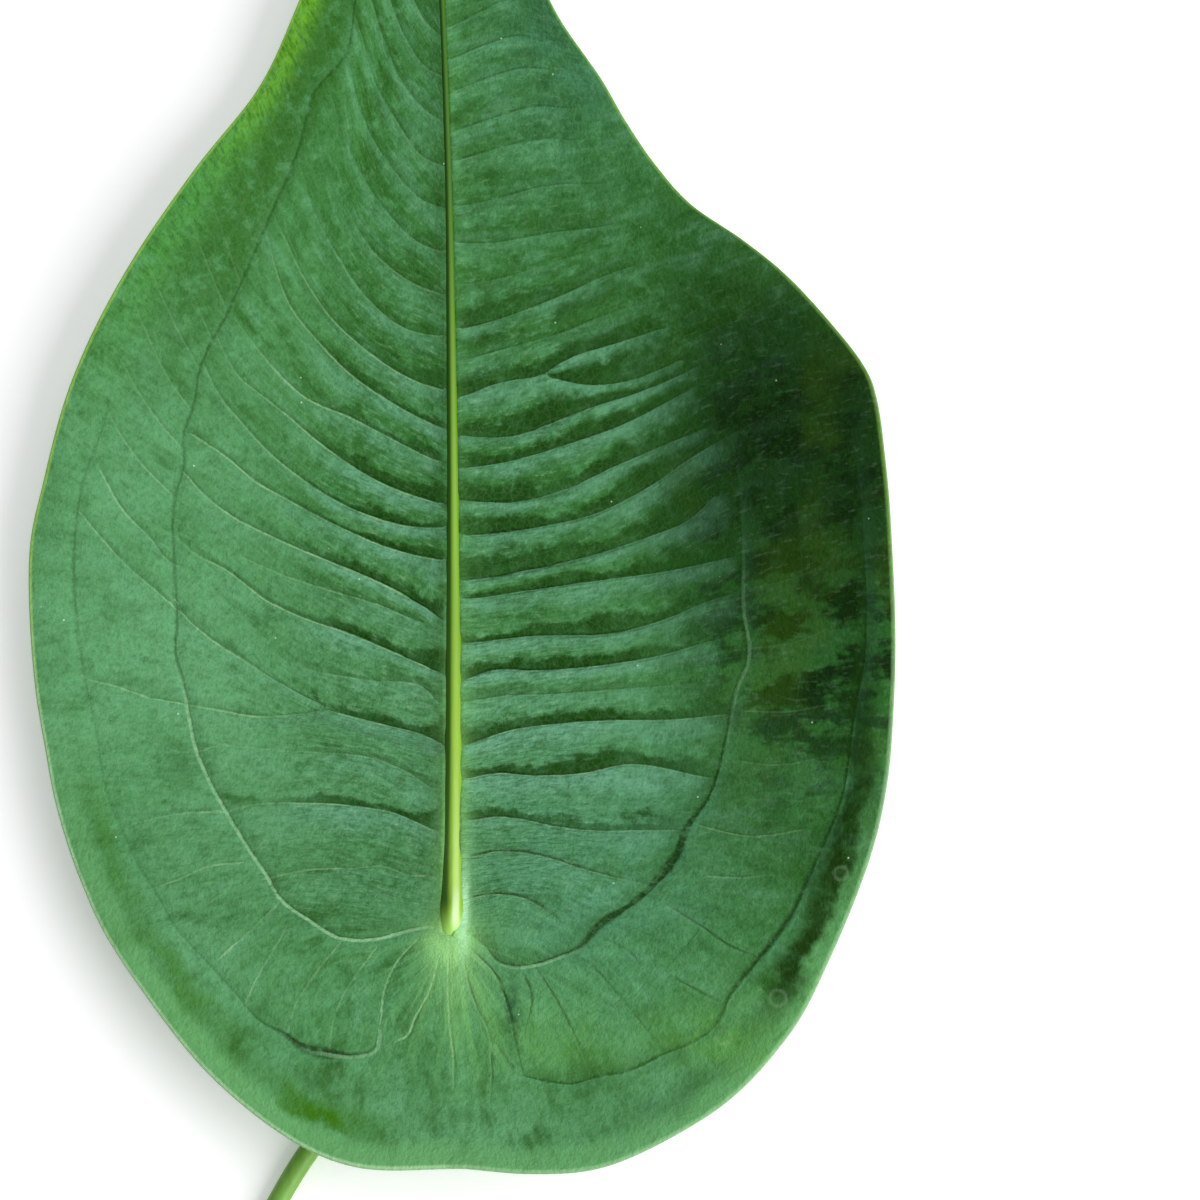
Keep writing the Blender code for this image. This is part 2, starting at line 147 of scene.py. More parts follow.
# The veins themselves, each from its root outwards, led by how deep it is sunk, from 0 to 1.
left_side_veins = (
    (1, (-5, 12.5), (-8.5, 12.5), (-14, 14.5), (-20, 14), (-30, 13.5), (-36, 12), (-38.5, 11.5)),
    (1, (-4, 22), (-11, 25.5), (-21, 27.5), (-31, 28), (-40.5, 27.5), (-46, 26)),
    (0.4, (-4, 30.5), (-8.5, 34), (-16, 37.5), (-28, 39), (-38, 39.5), (-48.5, 40.5)),
    (1, (-2.5, 40.5), (-6, 42.5), (-15, 45), (-26.5, 48.5), (-35, 53), (-43, 58), (-51, 63),
        (-56.5, 68), (-58.5, 71)),
    (0.4, (-4, 50), (-6, 52.5), (-18.5, 54.5), (-31.5, 57), (-40, 61)),
    (1, (-3, 55.5), (-12, 60), (-22, 64.5), (-32, 68), (-39.5, 71.5), (-47.5, 77.5), (-55.5, 81.5),
        (-58.5, 84.5)),
    (0.4, (-7.5, 67), (-17, 71), (-25.5, 73.5), (-36.5, 77), (-45, 80.5)),
    (1, (-4, 68), (-10, 72), (-15.5, 75), (-25.5, 79.5), (-37.5, 84.5), (-47.5, 89.5), (-53.5, 94),
        (-57.5, 98.5)),
    (1, (-3, 80), (-15.5, 83.5), (-25.5, 88), (-36, 93.5), (-42.5, 97), (-48, 101.5), (-56, 106.5)),
    (1, (-2.5, 87), (-12.5, 88), (-22.5, 91.5), (-32.5, 97.5), (-40.5, 104), (-46, 110), (-49.5, 114),
        (-53.5, 121)),
    (1, (-3, 92), (-16, 97), (-29.5, 106), (-36, 111.5), (-40, 114.5), (-46.5, 119.5), (-51, 127.5)),
    (1, (-4, 101.5), (-12.5, 106), (-23, 111.5), (-32.5, 115.5), (-40.5, 123), (-47, 131)),
    (1, (-3, 108.5), (-13, 114), (-23, 121), (-29.5, 127.5), (-36, 135.5), (-39, 143), (-41.5, 153)),
    (1, (-3, 117), (-11.5, 120.5), (-19.5, 126), (-28, 134), (-32.5, 140.5), (-37.5, 150),
        (-40.5, 156)),
    (1, (-3.5, 129), (-11.5, 131), (-20, 138), (-26.5, 147.5), (-31, 155.5), (-34.5, 166.5)),
    (1, (-3, 138), (-10, 141), (-19, 148.5), (-24.5, 158), (-29.5, 169), (-31.5, 177.5)),
    (1, (-3.5, 147.5), (-9, 150), (-16, 157), (-22, 166), (-26.5, 177), (-29, 185.5)),
    (1, (-3, 157), (-8.5, 159.5), (-14.5, 166), (-20, 174.5), (-23.5, 184.5), (-26, 191.5)),
    (1, (-3, 166), (-8.5, 169), (-13.5, 176), (-18.5, 184.5), (-21.5, 194.5), (-23.5, 200.5)),
    (1, (-3, 175.5), (-8, 179), (-13, 185.5), (-16.5, 193.5), (-19.5, 202.5), (-21.5, 209.5)),
    (1, (-3.5, 185.5), (-8, 188.5), (-12, 194.5), (-15.5, 203), (-18, 211)),
    (1, (-4, 194.5), (-7.5, 198), (-11, 204.5), (-14.5, 212.5), (-16.5, 219.5)),
    (1, (-4, 204.5), (-7.5, 207.5), (-11, 214), (-13.5, 221.5), (-16, 228)),
    (1, (-4.5, 214.5), (-7.5, 218), (-10.5, 224), (-13, 231.5)),
    (1, (-5, 225), (-7.5, 228.5), (-10, 234.5), (-12, 241)),
    (1, (-5.5, 236.5), (-7.5, 239.5), (-9.5, 245.5)),
    (0.75, (-26.5, 48.5), (-34, 47), (-41.5, 46.5), (-48, 47.5), (-54.5, 48.5)),
    (0.75, (-54.5, 48.5), (-64, 50), (-70, 52), (-75, 53)),
    (0.75, (-42, 15), (-49.5, 14), (-55.5, 11), (-59.5, 9.5)),
    (0.75, (-45, 26), (-56.5, 25), (-65.5, 22.5)),
    (0.4, (-48.5, 40.5), (-53.5, 38.5), (-63, 41), (-68.5, 44.5)),
    (0.75, (-56.5, 68), (-62.5, 73), (-68, 77.5), (-71, 80.5), (-75, 85), (-78, 88.5)),
    (0.75, (-57.5, 78), (-59, 78.5), (-63.5, 83.5), (-69.5, 89.5), (-74, 97.5)),
    (0.4, (-58, 92), (-64, 97.5), (-70, 105), (-73.5, 112)),
    (0.4, (-57.5, 103), (-62, 108), (-67, 115), (-71, 122.5)),
    (0.4, (-56, 111.5), (-60.5, 117.5), (-64.5, 125.5), (-67.5, 132.5)),
    (0.4, (-54.5, 120.5), (-58, 126.5), (-62, 134.5), (-65, 141.5)),
    (0.4, (-52, 127), (-55, 133.5), (-59, 142), (-61.5, 148)),
    (0.4, (-49, 133), (-52, 140), (-55.5, 149), (-57.5, 155.5)),
    (0.4, (-46.5, 139.5), (-49, 147), (-52, 155.5), (-53.5, 162.5)),
    (0.4, (-43.5, 147.5), (-45.5, 154.5), (-48, 162.5), (-49.5, 169)),
    (0.4, (-40.5, 154.5), (-42.5, 161.5), (-44.5, 169.5), (-45.5, 177)),
    (0.4, (-37.5, 163), (-39, 169.5), (-41, 176.5), (-41.5, 182.5)),
    (0.4, (-34.5, 170), (-36, 176.5), (-37.5, 185), (-37.5, 191)),
    (0.4, (-31.5, 181), (-32.5, 187.5), (-34, 195), (-34, 201)),
    (0.4, (-28, 186.5), (-29, 193), (-30, 201.5), (-30, 208.5)),
    (0.75, (-34.5, 7), (-39.5, 1), (-46, -5)),
    (0.75, (-33, 1.5), (-36.5, -5), (-39.5, -11), (-40.5, -14)),
    (0.75, (-22, -1.5), (-27, -8), (-31, -15), (-32, -20)),
    (0.75, (-15, -2.5), (-20, -9.5), (-23, -16), (-24, -23.5)),
)
right_side_veins = (
    (1, (3, 7.5), (9, 8.5), (15, 7.5), (21.5, 3)),
    (1, (2.5, 16), (8.5, 17.5), (13, 17.5), (18.5, 16.5), (24.5, 14.5), (31, 12.5), (39, 10.5)),
    (1, (3, 24), (8.5, 25), (13.5, 24.5), (20, 23), (28, 22), (37.5, 22), (46.5, 22)),
    (1, (2, 33), (7.5, 34.5), (16.5, 34), (26, 34.5), (35.5, 36.5), (52.5, 33)),
    (1, (1.5, 40), (10, 43.5), (23, 45.5), (32.5, 46), (45, 46), (56, 46.5)),
    (0.4, (1.5, 49.5), (9, 51), (20.5, 51.5), (34, 52.5), (48.5, 53.5)),
    (1, (1.5, 54), (7, 56.5), (16.5, 56.5), (29, 57.5), (43.5, 60), (53, 62.5)),
    (1, (0.5, 62), (16.5, 64), (32.5, 64.5), (43.5, 67.5), (53, 71), (57.5, 72)),
    (1, (2, 72), (15, 74), (32.5, 76.5), (45, 78), (57, 79.5)),
    (1, (2, 75.5), (15, 78), (29, 81.5), (40.5, 85.5), (48.5, 88.5), (54, 93)),
    (1, (2, 85.5), (16.5, 87.5), (29, 90.5), (40.5, 96.5), (48.5, 101.5), (55.5, 105)),
    (1, (0, 93), (13, 93), (22.5, 95.5), (32.5, 100.5), (43.5, 105), (51.5, 107.5)),
    (1, (1, 100), (13, 102.5), (22.5, 105.5), (32.5, 109), (42, 113.5), (48.5, 116.5)),
    (1, (0, 107), (13, 107.5), (19.5, 110), (29, 114), (37, 116.5), (49, 120.5)),
    (1, (0, 115.5), (8, 119), (17.5, 121), (24.5, 125), (32.5, 127.5), (42.5, 130)),
    (0.75, (17.5, 121), (27.5, 118.5), (37, 119.5), (47, 123)),
    (0.4, (0, 123.5), (9.5, 126.5), (21.5, 130), (33, 134.5), (43.5, 136)),
    (1, (0, 130.5), (9.5, 133.5), (21, 138), (31, 142.5), (39, 144.5)),
    (0.4, (-0.5, 140.5), (8.5, 142), (19.5, 145.5), (31, 148.5), (37, 149)),
    (1, (-1, 149.5), (8, 150), (19.5, 152), (32.5, 153)),
    (1, (-1, 157.5), (7.5, 159.5), (19.5, 162.5), (31, 162)),
    (1, (-1.5, 167.5), (7.5, 170.5), (18, 172.5), (27, 171.5)),
    (1, (-1.5, 174), (7, 177), (16, 179.5), (24, 178.5)),
    (1, (-2, 182.5), (6, 186), (14, 188), (20.5, 187)),
    (1, (-2.5, 189.5), (5, 193), (11.5, 195), (17, 194)),
    (1, (-3, 196.5), (4, 200.5), (10, 203), (14, 202)),
    (1, (-3.5, 204), (2.5, 207.5), (8, 211), (11, 211)),
    (1, (-3.5, 211.5), (1, 216), (6, 219.5), (8, 220)),
    (1, (-4, 220), (0.5, 224.5), (4, 228.5)),
    (1, (-5, 229), (-0.5, 233.5), (2.5, 237)),
    (1, (-5, 238), (-2, 242.5), (0.5, 246)),
    (0.75, (49.5, 23), (60.5, 20), (71, 21)),
    (0.75, (51, 12), (58, 11.5), (65, 12)),
    (0.75, (43, 6), (50.5, 1), (56, -3), (60.5, -5)),
    (0.75, (44.5, -9), (49, -11.5), (53.5, -14)),
    (0.75, (17, -7), (21.5, -14), (25.5, -22), (28, -27.5)),
    (0.75, (28.5, -6.5), (34.5, -13.5), (40, -20.5), (42.5, -23.5)),
    (0.75, (30.5, -1), (36, -4), (38, -6.5)),
    (0.4, (58, 36.5), (66.5, 35), (75.5, 36)),
    (0.4, (59, 47), (68.5, 46), (79, 47)),
    (0.4, (60.5, 60), (70.5, 60.5), (80.5, 64)),
    (0.4, (60, 72.5), (71, 74), (82, 78.5)),
    (0.4, (59.5, 83), (71, 87), (82.5, 93.5)),
    (0.4, (58.5, 94), (69, 99.5), (81, 106.5)),
    (0.4, (55.5, 105), (67, 109.5), (78.5, 116)),
    (0.4, (53.5, 116), (63, 120), (73.5, 124.5)),
    (0.4, (49, 127), (58, 130), (66.5, 134)),
    (0.4, (42.5, 137), (51, 140), (58.5, 143)),
)
foot_veins = (
    (1, (-6.5, -1), (-10.5, -5.5), (-13, -11.5), (-13.5, -17.5), (-14, -21.5)),
    (1, (-2, -4), (-4.5, -12.5), (-7, -17), (-8.5, -20.5), (-11, -21.5)),
    (1, (0, -1), (-0.5, -10), (0, -17.5), (1, -27), (1, -34)),
    (1, (2, -3), (4.5, -12.5), (8, -20.5), (8.5, -27), (8, -34)),
    (0.75, (8, -20.5), (10.5, -24), (12.5, -27)),
    (1, (4, -3), (9.5, -9), (11.5, -14.5), (14, -27)),
    (0.75, (14.5, -8), (16, -11.5), (14.5, -20)),
)
# The lengthwise veins, from the joint to the tip.
left_collective = (
    (0, -0.5), (-3.5, 1.5), (-8, 1), (-13.5, -0.5), (-19.5, -1), (-22.5, -0.5), (-28.5, 3),
    (-34.5, 7.5), (-37.5, 12.5), (-41, 17.5), (-46, 25.5), (-50, 32.5), (-53, 39.5), (-55, 48),
    (-56, 52.5), (-58, 59), (-58, 67), (-59, 79.5), (-59, 93), (-57.5, 98.5), (-57.5, 107),
    (-56, 111.5), (-54.5, 120.5), (-48.5, 134), (-40.5, 154.5), (-34.5, 170), (-31.5, 181),
    (-25, 190), (-23, 202.5), (-19, 216.5), (-14.5, 233.5), (-11, 252), (-8.5, 271),
)
right_collective = (
    (0, -0.5), (3, 0), (6.5, -2), (9.5, -5.5), (13.5, -6.5), (17, -6), (21.5, -4.5), (26, -2.5),
    (30.5, 2.5), (34.5, 5), (39.5, 9), (43, 13), (46, 17.5), (47.5, 22), (52, 28.5), (56, 42),
    (58, 51.5), (60.5, 58), (59.5, 68), (59.5, 80.5), (58.5, 97), (55, 114), (48.5, 129.5),
    (40.5, 140), (32.5, 154), (26, 169), (19.5, 181), (14.5, 192.5), (11, 203), (7.5, 214.5),
    (3, 231.5), (-1, 252.5), (-5, 271.5),
)
left_outer = (
    (-14, -20), (-14.5, -23), (-19, -24.5), (-24.5, -24), (-29, -23), (-32.5, -20.5), (-38.5, -17),
    (-41, -14), (-48, -6.5), (-55, 1), (-59, 7.5), (-62.5, 13), (-67, 21.5), (-70, 28), (-73, 41.5),
    (-76, 53.5), (-78, 65), (-79, 82.5), (-77.5, 95), (-74, 106), (-71.5, 118.5), (-66.5, 131.5),
)
right_outer = (
    (15, -28.5), (19.5, -29.5), (24.5, -30), (29.5, -28.5), (35.5, -27.5), (43, -24), (47, -22.5),
    (52, -19.5), (56.5, -11.5), (61.5, -5.5), (68, 3), (72.5, 12.5), (76, 20), (78.5, 26.5),
    (81.5, 44.5), (83.5, 55), (84, 64.5), (83.5, 79), (82.5, 93.5), (80, 108.5),
)


def smooth(knots, values, at):
    """The values at the knots joined by one smooth curve, read at the places asked for."""
    knots = np.asarray(knots, float)
    values = np.asarray(values, float)
    slopes = np.gradient(values, knots, axis=0)
    at = np.atleast_1d(np.asarray(at, float))
    k = np.clip(np.searchsorted(knots, at, side="right") - 1, 0, len(knots) - 2)
    shape = (-1,) + (1,) * (values.ndim - 1)
    width = (knots[k + 1] - knots[k]).reshape(shape)
    u = (at - knots[k]).reshape(shape) / width
    start = (1 + 2 * u) * (1 - u) ** 2 * values[k] + u * (1 - u) ** 2 * width * slopes[k]
    end = u * u * (3 - 2 * u) * values[k + 1] + u * u * (u - 1) * width * slopes[k + 1]
    return start + end


def running_length(points):
    """How far along a line of points each of them lies."""
    return np.concatenate([[0.0], np.cumsum(np.linalg.norm(np.diff(points, axis=0), axis=1))])


def midrib_at(y):
    """Sideways place, blade height, trough, half width, rise and keel of the midrib this far along it."""
    rib = np.array(midrib)
    return smooth(rib[:, 0], rib[:, 1:], np.clip(y, 0.0, rib[-1, 0]))


def inner_edge(start, side):
    """Where the sheet starts, tucked just inside the midrib that hides its edge."""
    if start < 0:
        return side * foot_radius * math.sqrt(max(1 - (start / 3.2) ** 2, 0.0)), start / 3.2 * foot_radius
    if start > midrib[-1][0]:
        return midrib[-1][1], midrib[-1][0] + 0.3
    x, _, _, half, _, _ = midrib_at(start)[0]
    return x + side * half * (1 - edge_tuck), start


def side_plan(guides, side, row_step, columns):
    """Plan places of one side's grid, how far each lies along its row, the margin's height, and row places."""
    stations = []
    for start, belly, collective, margin, _, band in guides:
        inward = np.subtract(collective, margin)
        outer = np.add(margin, inward * band / np.linalg.norm(inward))
        stations.append([inner_edge(start, side), belly, collective, outer, margin])
    stations = np.array(stations, float)
    heights = np.array([guide[4] for guide in guides])
    steps = np.linalg.norm(np.diff(stations[:, 1:4], axis=0), axis=2).mean(axis=1)
    along = np.concatenate([[0.0], np.cumsum(steps)])
    rows = []
    for start, end in zip(along[:-1], along[1:]):
        rows += list(np.linspace(start, end, max(3, round((end - start) / row_step)), endpoint=False))
    rows = np.array(rows + [along[-1]])
    places = smooth(along, stations, rows)
    plan, runs = [], []
    for row in places:
        reach = running_length(row)
        run = np.interp(columns, range(5), reach)
        plan.append(smooth(reach, row, run))
        runs.append(run)
    return np.array(plan), np.array(runs), smooth(along, heights, rows), rows


# How many columns the sheet has as far as the belly's middle, the collective vein, the rim band and the margin.
belly_columns, vein_columns, band_columns, rim_columns = 24, 30, 24, 14
columns = np.concatenate([
    np.linspace(0, 1, belly_columns, endpoint=False),
    np.linspace(1, 2, vein_columns, endpoint=False),
    np.linspace(2, 3, band_columns, endpoint=False),
    np.linspace(3, 4, rim_columns),
])
collective_column = belly_columns + vein_columns
band_column = collective_column + band_columns
left_plan, left_run, left_height, left_rows = side_plan(left_guides, -1, 0.86, columns)
right_plan, right_run, right_height, right_rows = side_plan(right_guides, 1, 0.86, columns)
plan = np.concatenate([left_plan, right_plan[::-1][1:-1], left_plan[:1]])
run = np.concatenate([left_run, right_run[::-1][1:-1], left_run[:1]])
margin_height = np.concatenate([left_height, right_height[::-1][1:-1], left_height[:1]])
station = np.concatenate([left_rows, right_rows[::-1][1:-1], left_rows[:1]])[:, None]
on_left = np.arange(len(plan)) < len(left_plan)
on_left[-1] = True
x, y = plan[..., 0], plan[..., 1]


def nearest_on(line, x, y, reach, step=1.2):
    """For the points within reach of a line: which they are, their signed distance from it, and how far
    along it they lie, from 0 to 1, or how far past its end."""
    points = np.array(line, float)
    length = running_length(points)
    points = smooth(length, points, np.linspace(0, length[-1], max(3, int(length[-1] / step))))
    low, high = points.min(axis=0) - reach, points.max(axis=0) + reach
    near = np.flatnonzero((x > low[0]) & (x < high[0]) & (y > low[1]) & (y < high[1]))
    place = np.stack([x[near], y[near]], axis=1)
    best = np.full(len(near), 1e9)
    side = np.zeros(len(near))
    share = np.zeros(len(near))
    past = np.zeros(len(near))
    for k, (a, b) in enumerate(zip(points[:-1], points[1:])):
        d = b - a
        size = np.linalg.norm(d)
        t = (place - a) @ d / size**2
        inside = np.clip(t, 0, 1)
        distance = np.linalg.norm(place - a - inside[:, None] * d, axis=1)
        closer = distance < best
        best[closer] = distance[closer]
        cross = (d[0] * (place[:, 1] - a[1]) - d[1] * (place[:, 0] - a[0])) / size
        side[closer] = cross[closer]
        share[closer] = ((k + inside) / (len(points) - 1))[closer]
        beyond = np.zeros(len(near))
        if k == 0:
            beyond = np.maximum(beyond, -t * size)
        if k == len(points) - 2:
            beyond = np.maximum(beyond, (t - 1) * size)
        past[closer] = beyond[closer]
    keep = best < reach
    return near[keep], np.sign(side[keep]) * best[keep], share[keep], past[keep]


# For every point of the sheet: how far it is to the next side vein on the stalk's side and on the tip's side,
# and how strong those are. A vein that has ended counts as farther away, so the panels close softly past it.
far = 16.0
flat_x, flat_y = x.ravel(), y.ravel()
left_points = np.repeat(on_left, x.shape[1])
gaps = np.full((2, flat_x.size), far)
pull = np.full((2, flat_x.size), 1e-12)
pulled = np.zeros((2, flat_x.size))
for veins, turn, where in (
    (left_side_veins, -1, left_points | (flat_y < -2)),
    (right_side_veins, 1, ~left_points | (flat_y < -2)),
    (foot_veins, 1, flat_y < 12),
):
    for weight, *line in veins:
        near, distance, share, past = nearest_on(line, flat_x, flat_y, 15.0)
        keep = where[near]
        near, distance, share, past = near[keep], distance[keep] * turn, share[keep], past[keep]
        strong = weight * np.interp(share, (0, 0.08, 0.7, 1), (0.6, 1, 0.85, 0.45)) * np.clip(1 - past / 3.5, 0, 1)
        away = np.abs(distance) + past
        tipward = (distance <= 0).astype(int)
        gaps[tipward, near] = np.minimum(gaps[tipward, near], away)
        pull[tipward, near] += np.exp(-away / 0.7)
        pulled[tipward, near] += np.exp(-away / 0.7) * strong
below, above = gaps.reshape(2, *x.shape)
below_weight, above_weight = (pulled / pull).reshape(2, *x.shape)
panel = below + above
up_panel = below / np.maximum(panel, 1e-6)
vein_weight = below_weight + (above_weight - below_weight) * np.clip(up_panel * 2 - 0.5, 0, 1)

# The lengthwise veins: signed distance, positive on the midrib's side, and strength.
long_vein = np.full(flat_x.shape, far)
long_weight = np.zeros(flat_x.shape)
for line, turn, weights in (
    (left_collective, 1, ((0, 0.04, 0.26, 0.34, 0.8, 1), (0.5, 1, 0.7, 0.2, 0.25, 0.2))),
    (right_collective, -1, ((0, 0.04, 0.22, 0.28, 0.38, 0.46, 1), (0.5, 1, 1, 0.5, 0.35, 0.05, 0.1))),
    (left_outer, 1, ((0, 0.1, 0.4, 0.7, 1), (0.5, 0.6, 0.3, 0.2, 0.0))),
    (right_outer, -1, ((0, 0.1, 0.4, 0.7, 1), (0.6, 1, 0.9, 0.7, 0.0))),
):
    near, distance, share, past = nearest_on(line, flat_x, flat_y, 14.0)
    strong = np.interp(share, *weights) * np.clip(1 - past / 3, 0, 1)
    closer = np.abs(distance) < np.abs(long_vein[near])
    long_vein[near[closer]] = -turn * distance[closer]
    long_weight[near[closer]] = strong[closer]
long_vein, long_weight = long_vein.reshape(x.shape), long_weight.reshape(x.shape)

# The sheet's middle height: the belly, the wall that climbs to the rim, the quilting and the grooves.
rib_x, rib_height, trough, rib_half = midrib_at(y.ravel())[:, :4].T.reshape(4, *x.shape)
beside = rib_height - trough * (1 - np.clip(1 - run / trough_width, 0, 1) ** 2)
share = run / run[:, -1:]
flat_from = np.where(on_left, left_wall[0], right_wall[0])[:, None]
power = np.where(on_left, left_wall[1], right_wall[1])[:, None]
climb = np.clip((share - flat_from) / (1 - flat_from), 0, None) ** power
crest = 0.3
relief = np.interp(y, (-40, -4, 14, 80, 105, 140, 260), (0.14, 0.16, 0.8, 1, 0.6, 0.14, 0.1))
relief *= np.interp(columns, (0, 1.7, 2.1, 3, 3.6), (1, 1, 0.5, 0.35, 0))
relief *= np.where(on_left[:, None], np.interp(run, (0, 8, 24, 44), (0.8, 1, 0.8, 0.4)), 1.0)
relief *= np.interp(y, (0, 60), (0.55, 1))
from_below = np.clip(1 - up_panel / crest, 0, 1) ** 2 * below_weight
from_above = np.clip((up_panel - crest) / (1 - crest), 0, 1) ** 2 * above_weight
depth = np.minimum(0.85, 0.1 * panel)
sunk = relief * depth * (from_below + from_above)
full = np.clip((run[:, band_column] - run[:, collective_column]) / full_relief_width, 0, 1)[:, None]
sunk += full * 0.45 * long_weight * np.exp(-((long_vein / 1.1) ** 2))
rim_column = np.clip((columns - 3.2) / 0.8, 0, 1)[None, :]
sunk += full * rim_roll * rim_column**2
z = beside + (margin_height[:, None] - beside) * climb - sunk
fillet = 0.5 * np.exp(-np.clip(run - 0.6, 0, None) / 1.6)
z += fillet * np.clip(1 - y / 260, 0.2, 1)
z += 0.45 * np.exp(-((x / 2.6) ** 2) - ((y - 0.5) / 3.0) ** 2)

middle = np.stack([x, y, z], axis=-1)
down_row = np.gradient(np.concatenate([middle[-3:-1], middle, middle[1:3]]), axis=0)[2:-2]
across = np.gradient(middle, axis=1)
normal = np.cross(across, down_row)
normal /= np.maximum(np.linalg.norm(normal, axis=-1, keepdims=True), 1e-9)
normal *= np.sign(normal[..., 2:3].mean())

# One row's profile runs over the top from the midrib to the margin, round the edge and back underneath.
under_columns = np.unique(np.round(np.linspace(0, len(columns) - 1, 28)).astype(int))[::-1]
ridge = 0.45 * vein_weight * np.exp(-((np.minimum(below, above) / 0.5) ** 2)) + 0.35 * long_weight * np.exp(-((long_vein / 0.6) ** 2))
ridge *= np.clip(run / 6, 0, 1)
top = middle + normal * blade_thickness / 2
bottom = middle - normal * (blade_thickness / 2 + ridge[..., None])
outward = middle[:, -1] - middle[:, -2]
outward /= np.linalg.norm(outward, axis=1, keepdims=True)
edge = np.stack([
    middle[:, -1] + outward * 0.18 + normal[:, -1] * 0.3,
    middle[:, -1] + outward * 0.3,
    middle[:, -1] + outward * 0.18 - normal[:, -1] * 0.3,
], axis=1)
points = np.concatenate([top, edge, bottom[:, under_columns], top[:, :1]], axis=1)
points[..., 2] = np.maximum(points[..., 2], 0.03)


def over_profile(values):
    """Values known over the sheet, carried round the edge and underneath."""
    values = np.broadcast_to(values, x.shape)
    return np.concatenate([values, values[:, [-1] * 3], values[:, under_columns], values[:, :1]], axis=1)


under = np.concatenate([
    np.zeros(x.shape), np.full((len(x), 3), 0.5), np.ones((len(x), len(under_columns))), np.zeros((len(x), 1))
], axis=1)
under[:, -1] = 0.0
def ease(value, low, high):
    """A soft step: 0 at low, 1 at high."""
    t = np.clip((value - low) / (high - low), 0, 1)
    return t * t * (3 - 2 * t)


def patch(x_at, y_at, x_size, y_size):
    """A soft round patch of the blade, 1 at its middle, in millimetres of the leaf's plan."""
    return np.exp(-(((x - x_at) / x_size) ** 2) - ((y - y_at) / y_size) ** 2)


# Where each colour and mark of the skin lies and how strong it is there, from 0 to 1. Several are painted light
# and shade: sheen, highlights, glints, a sky reflection, and shade on the far wall, in the panels and in the creases.
right = ease(x, -1, 1)
left = 1 - right
tipward = ease(y, 95, 165)
foot = ease(y, 10, -2)
past_collective = ease(columns, 1.8, 2.1) * np.ones_like(x)
from_rim = run[:, -1:] - run
# Painted sheen: broad patches where the skin is painted paler and bluer, as if the light were mirrored in it.
bloom = patch(-68, 42, 36, 120) + 0.42 * patch(10, -24, 85, 36) + 0.35 * patch(50, -24, 20, 12) + 0.8 * patch(-6, 38, 46, 32) + 0.8 * patch(5, -46, 70, 14)
warm = left * past_collective * ease(y, 98, 155) + 0.7 * patch(52, 132, 9, 10)
# Painted shade on the far right wall, which turns away from the light.
wall_start = np.interp(y, (30, 85), (44, 28))
shade = ease(x, wall_start, wall_start + 30) * ease(y, -2, 56) * (1 - 0.75 * ease(y, 112, 150))
# How strong the painted shade and painted sheen of the quilted panels are, and how far the shade reaches.
quilts = left * (1 - 0.78 * ease(run, 16, 42)) + right * (1 - 0.5 * ease(run, 36, 62))
quilts *= 1 - 0.72 * (left * ease(y, 85, 150) + right * ease(y, 118, 165))
quilts *= (1 - 0.75 * foot) * (1 - 0.8 * ease(y, 27, 16)) * ease(vein_weight, 0, 0.85)
quilts *= 1 - 0.75 * right * past_collective
band_left = np.interp(run, (2, 34), (0.42, 0.2))
band_right = 0.26 + 0.1 * ease(y, 30, 46) + 0.28 * ease(y, 62, 92)
deep_band = left * band_left + right * band_right + 0.14 * tipward
# Painted highlights along the side veins, and painted shade in their creases.
pale_lines = vein_weight * (1 - 0.9 * tipward) * (1 - right * (0.45 + 0.45 * ease(y, 20, 80) + 0.4 * foot * ease(x, 6, 12)))
pale_lines = np.clip(pale_lines * (1 + 0.6 * left * ease(y, 50, 20)), 0, 1)
dark_creases = vein_weight * (right * (1 - 0.6 * ease(run, 14, 50)) + 0.35 * left) * (1 - 0.5 * tipward)
dark_creases += 0.7 * vein_weight * foot * ease(x, 6, 12) * ease(run, 14, 50)
dark_creases *= 1 - 0.55 * past_collective * right * ease(y, 60, 90)
crinkle = (0.35 + 0.75 * ease(run, 46, 14)) * (1 - 0.6 * foot) * (1 - 0.45 * tipward)
clouds = 0.4 + 0.6 * ease(y, 80, 150) + 0.5 * right * past_collective * ease(y, 50, 20) + 0.35 * foot * left + 0.15 * foot + 0.3 * patch(-46, 24, 22, 30)
# Painted shade and painted light on the slopes and in the creases of the lengthwise veins.
long_slopes = long_weight * (0.3 * left + 0.75 * right)
wide_crease = 1.3 * patch(45, 16, 7, 9) + 1.2 * patch(31, 2, 7, 6) + 1.2 * patch(-26, -25, 8, 8) + 0.6 * patch(68, 0, 12, 18)
long_creases = long_weight * (1.6 * left * ease(y, 40, 80) + 0.5 * left + 0.9 * right)
long_creases += 2.2 * long_weight * (patch(-26, -25, 9, 9) + 0.4 * patch(44, 6, 14, 18))
long_lines = long_weight * (left * ease(y, 62, 45) * ease(from_rim, 14, 20) + 0.7 * patch(59, 62, 6, 14))
long_lines += 0.8 * long_weight * patch(18, -9, 9, 6)
rim_band = ease(from_rim, 6.4, 3.2) * ease(y, 55, -15) * (0.75 * left + 0.5 * right)
olive = 1.2 * patch(-24, -34, 12, 8) + 0.7 * patch(-52, -8, 12, 22) + 0.5 * patch(-70, 16, 8, 22) + 0.4 * patch(44, -30, 18, 8)
olive += 1.1 * patch(78, 22, 14, 34) + 0.9 * patch(63, -6, 12, 11)
glow = 1.2 * patch(-0.2, -1.2, 4.6, 4.2) + 0.4 * patch(0.8, -7, 6, 8)
fan = patch(1, -13, 15, 15) * foot
fold = patch(12.4, -16, 1.5, 7)
beside_rib = np.exp(-0.7 * run) * (1 - 0.9 * ease(y, 12, 90)) * (0.7 * left + 0.85 * right)
# A painted highlight just right of the midrib's foot.
rib_shine = patch(2.5, 5, 1.0, 9) * right
turn_of_panel = 2 * np.pi * up_panel
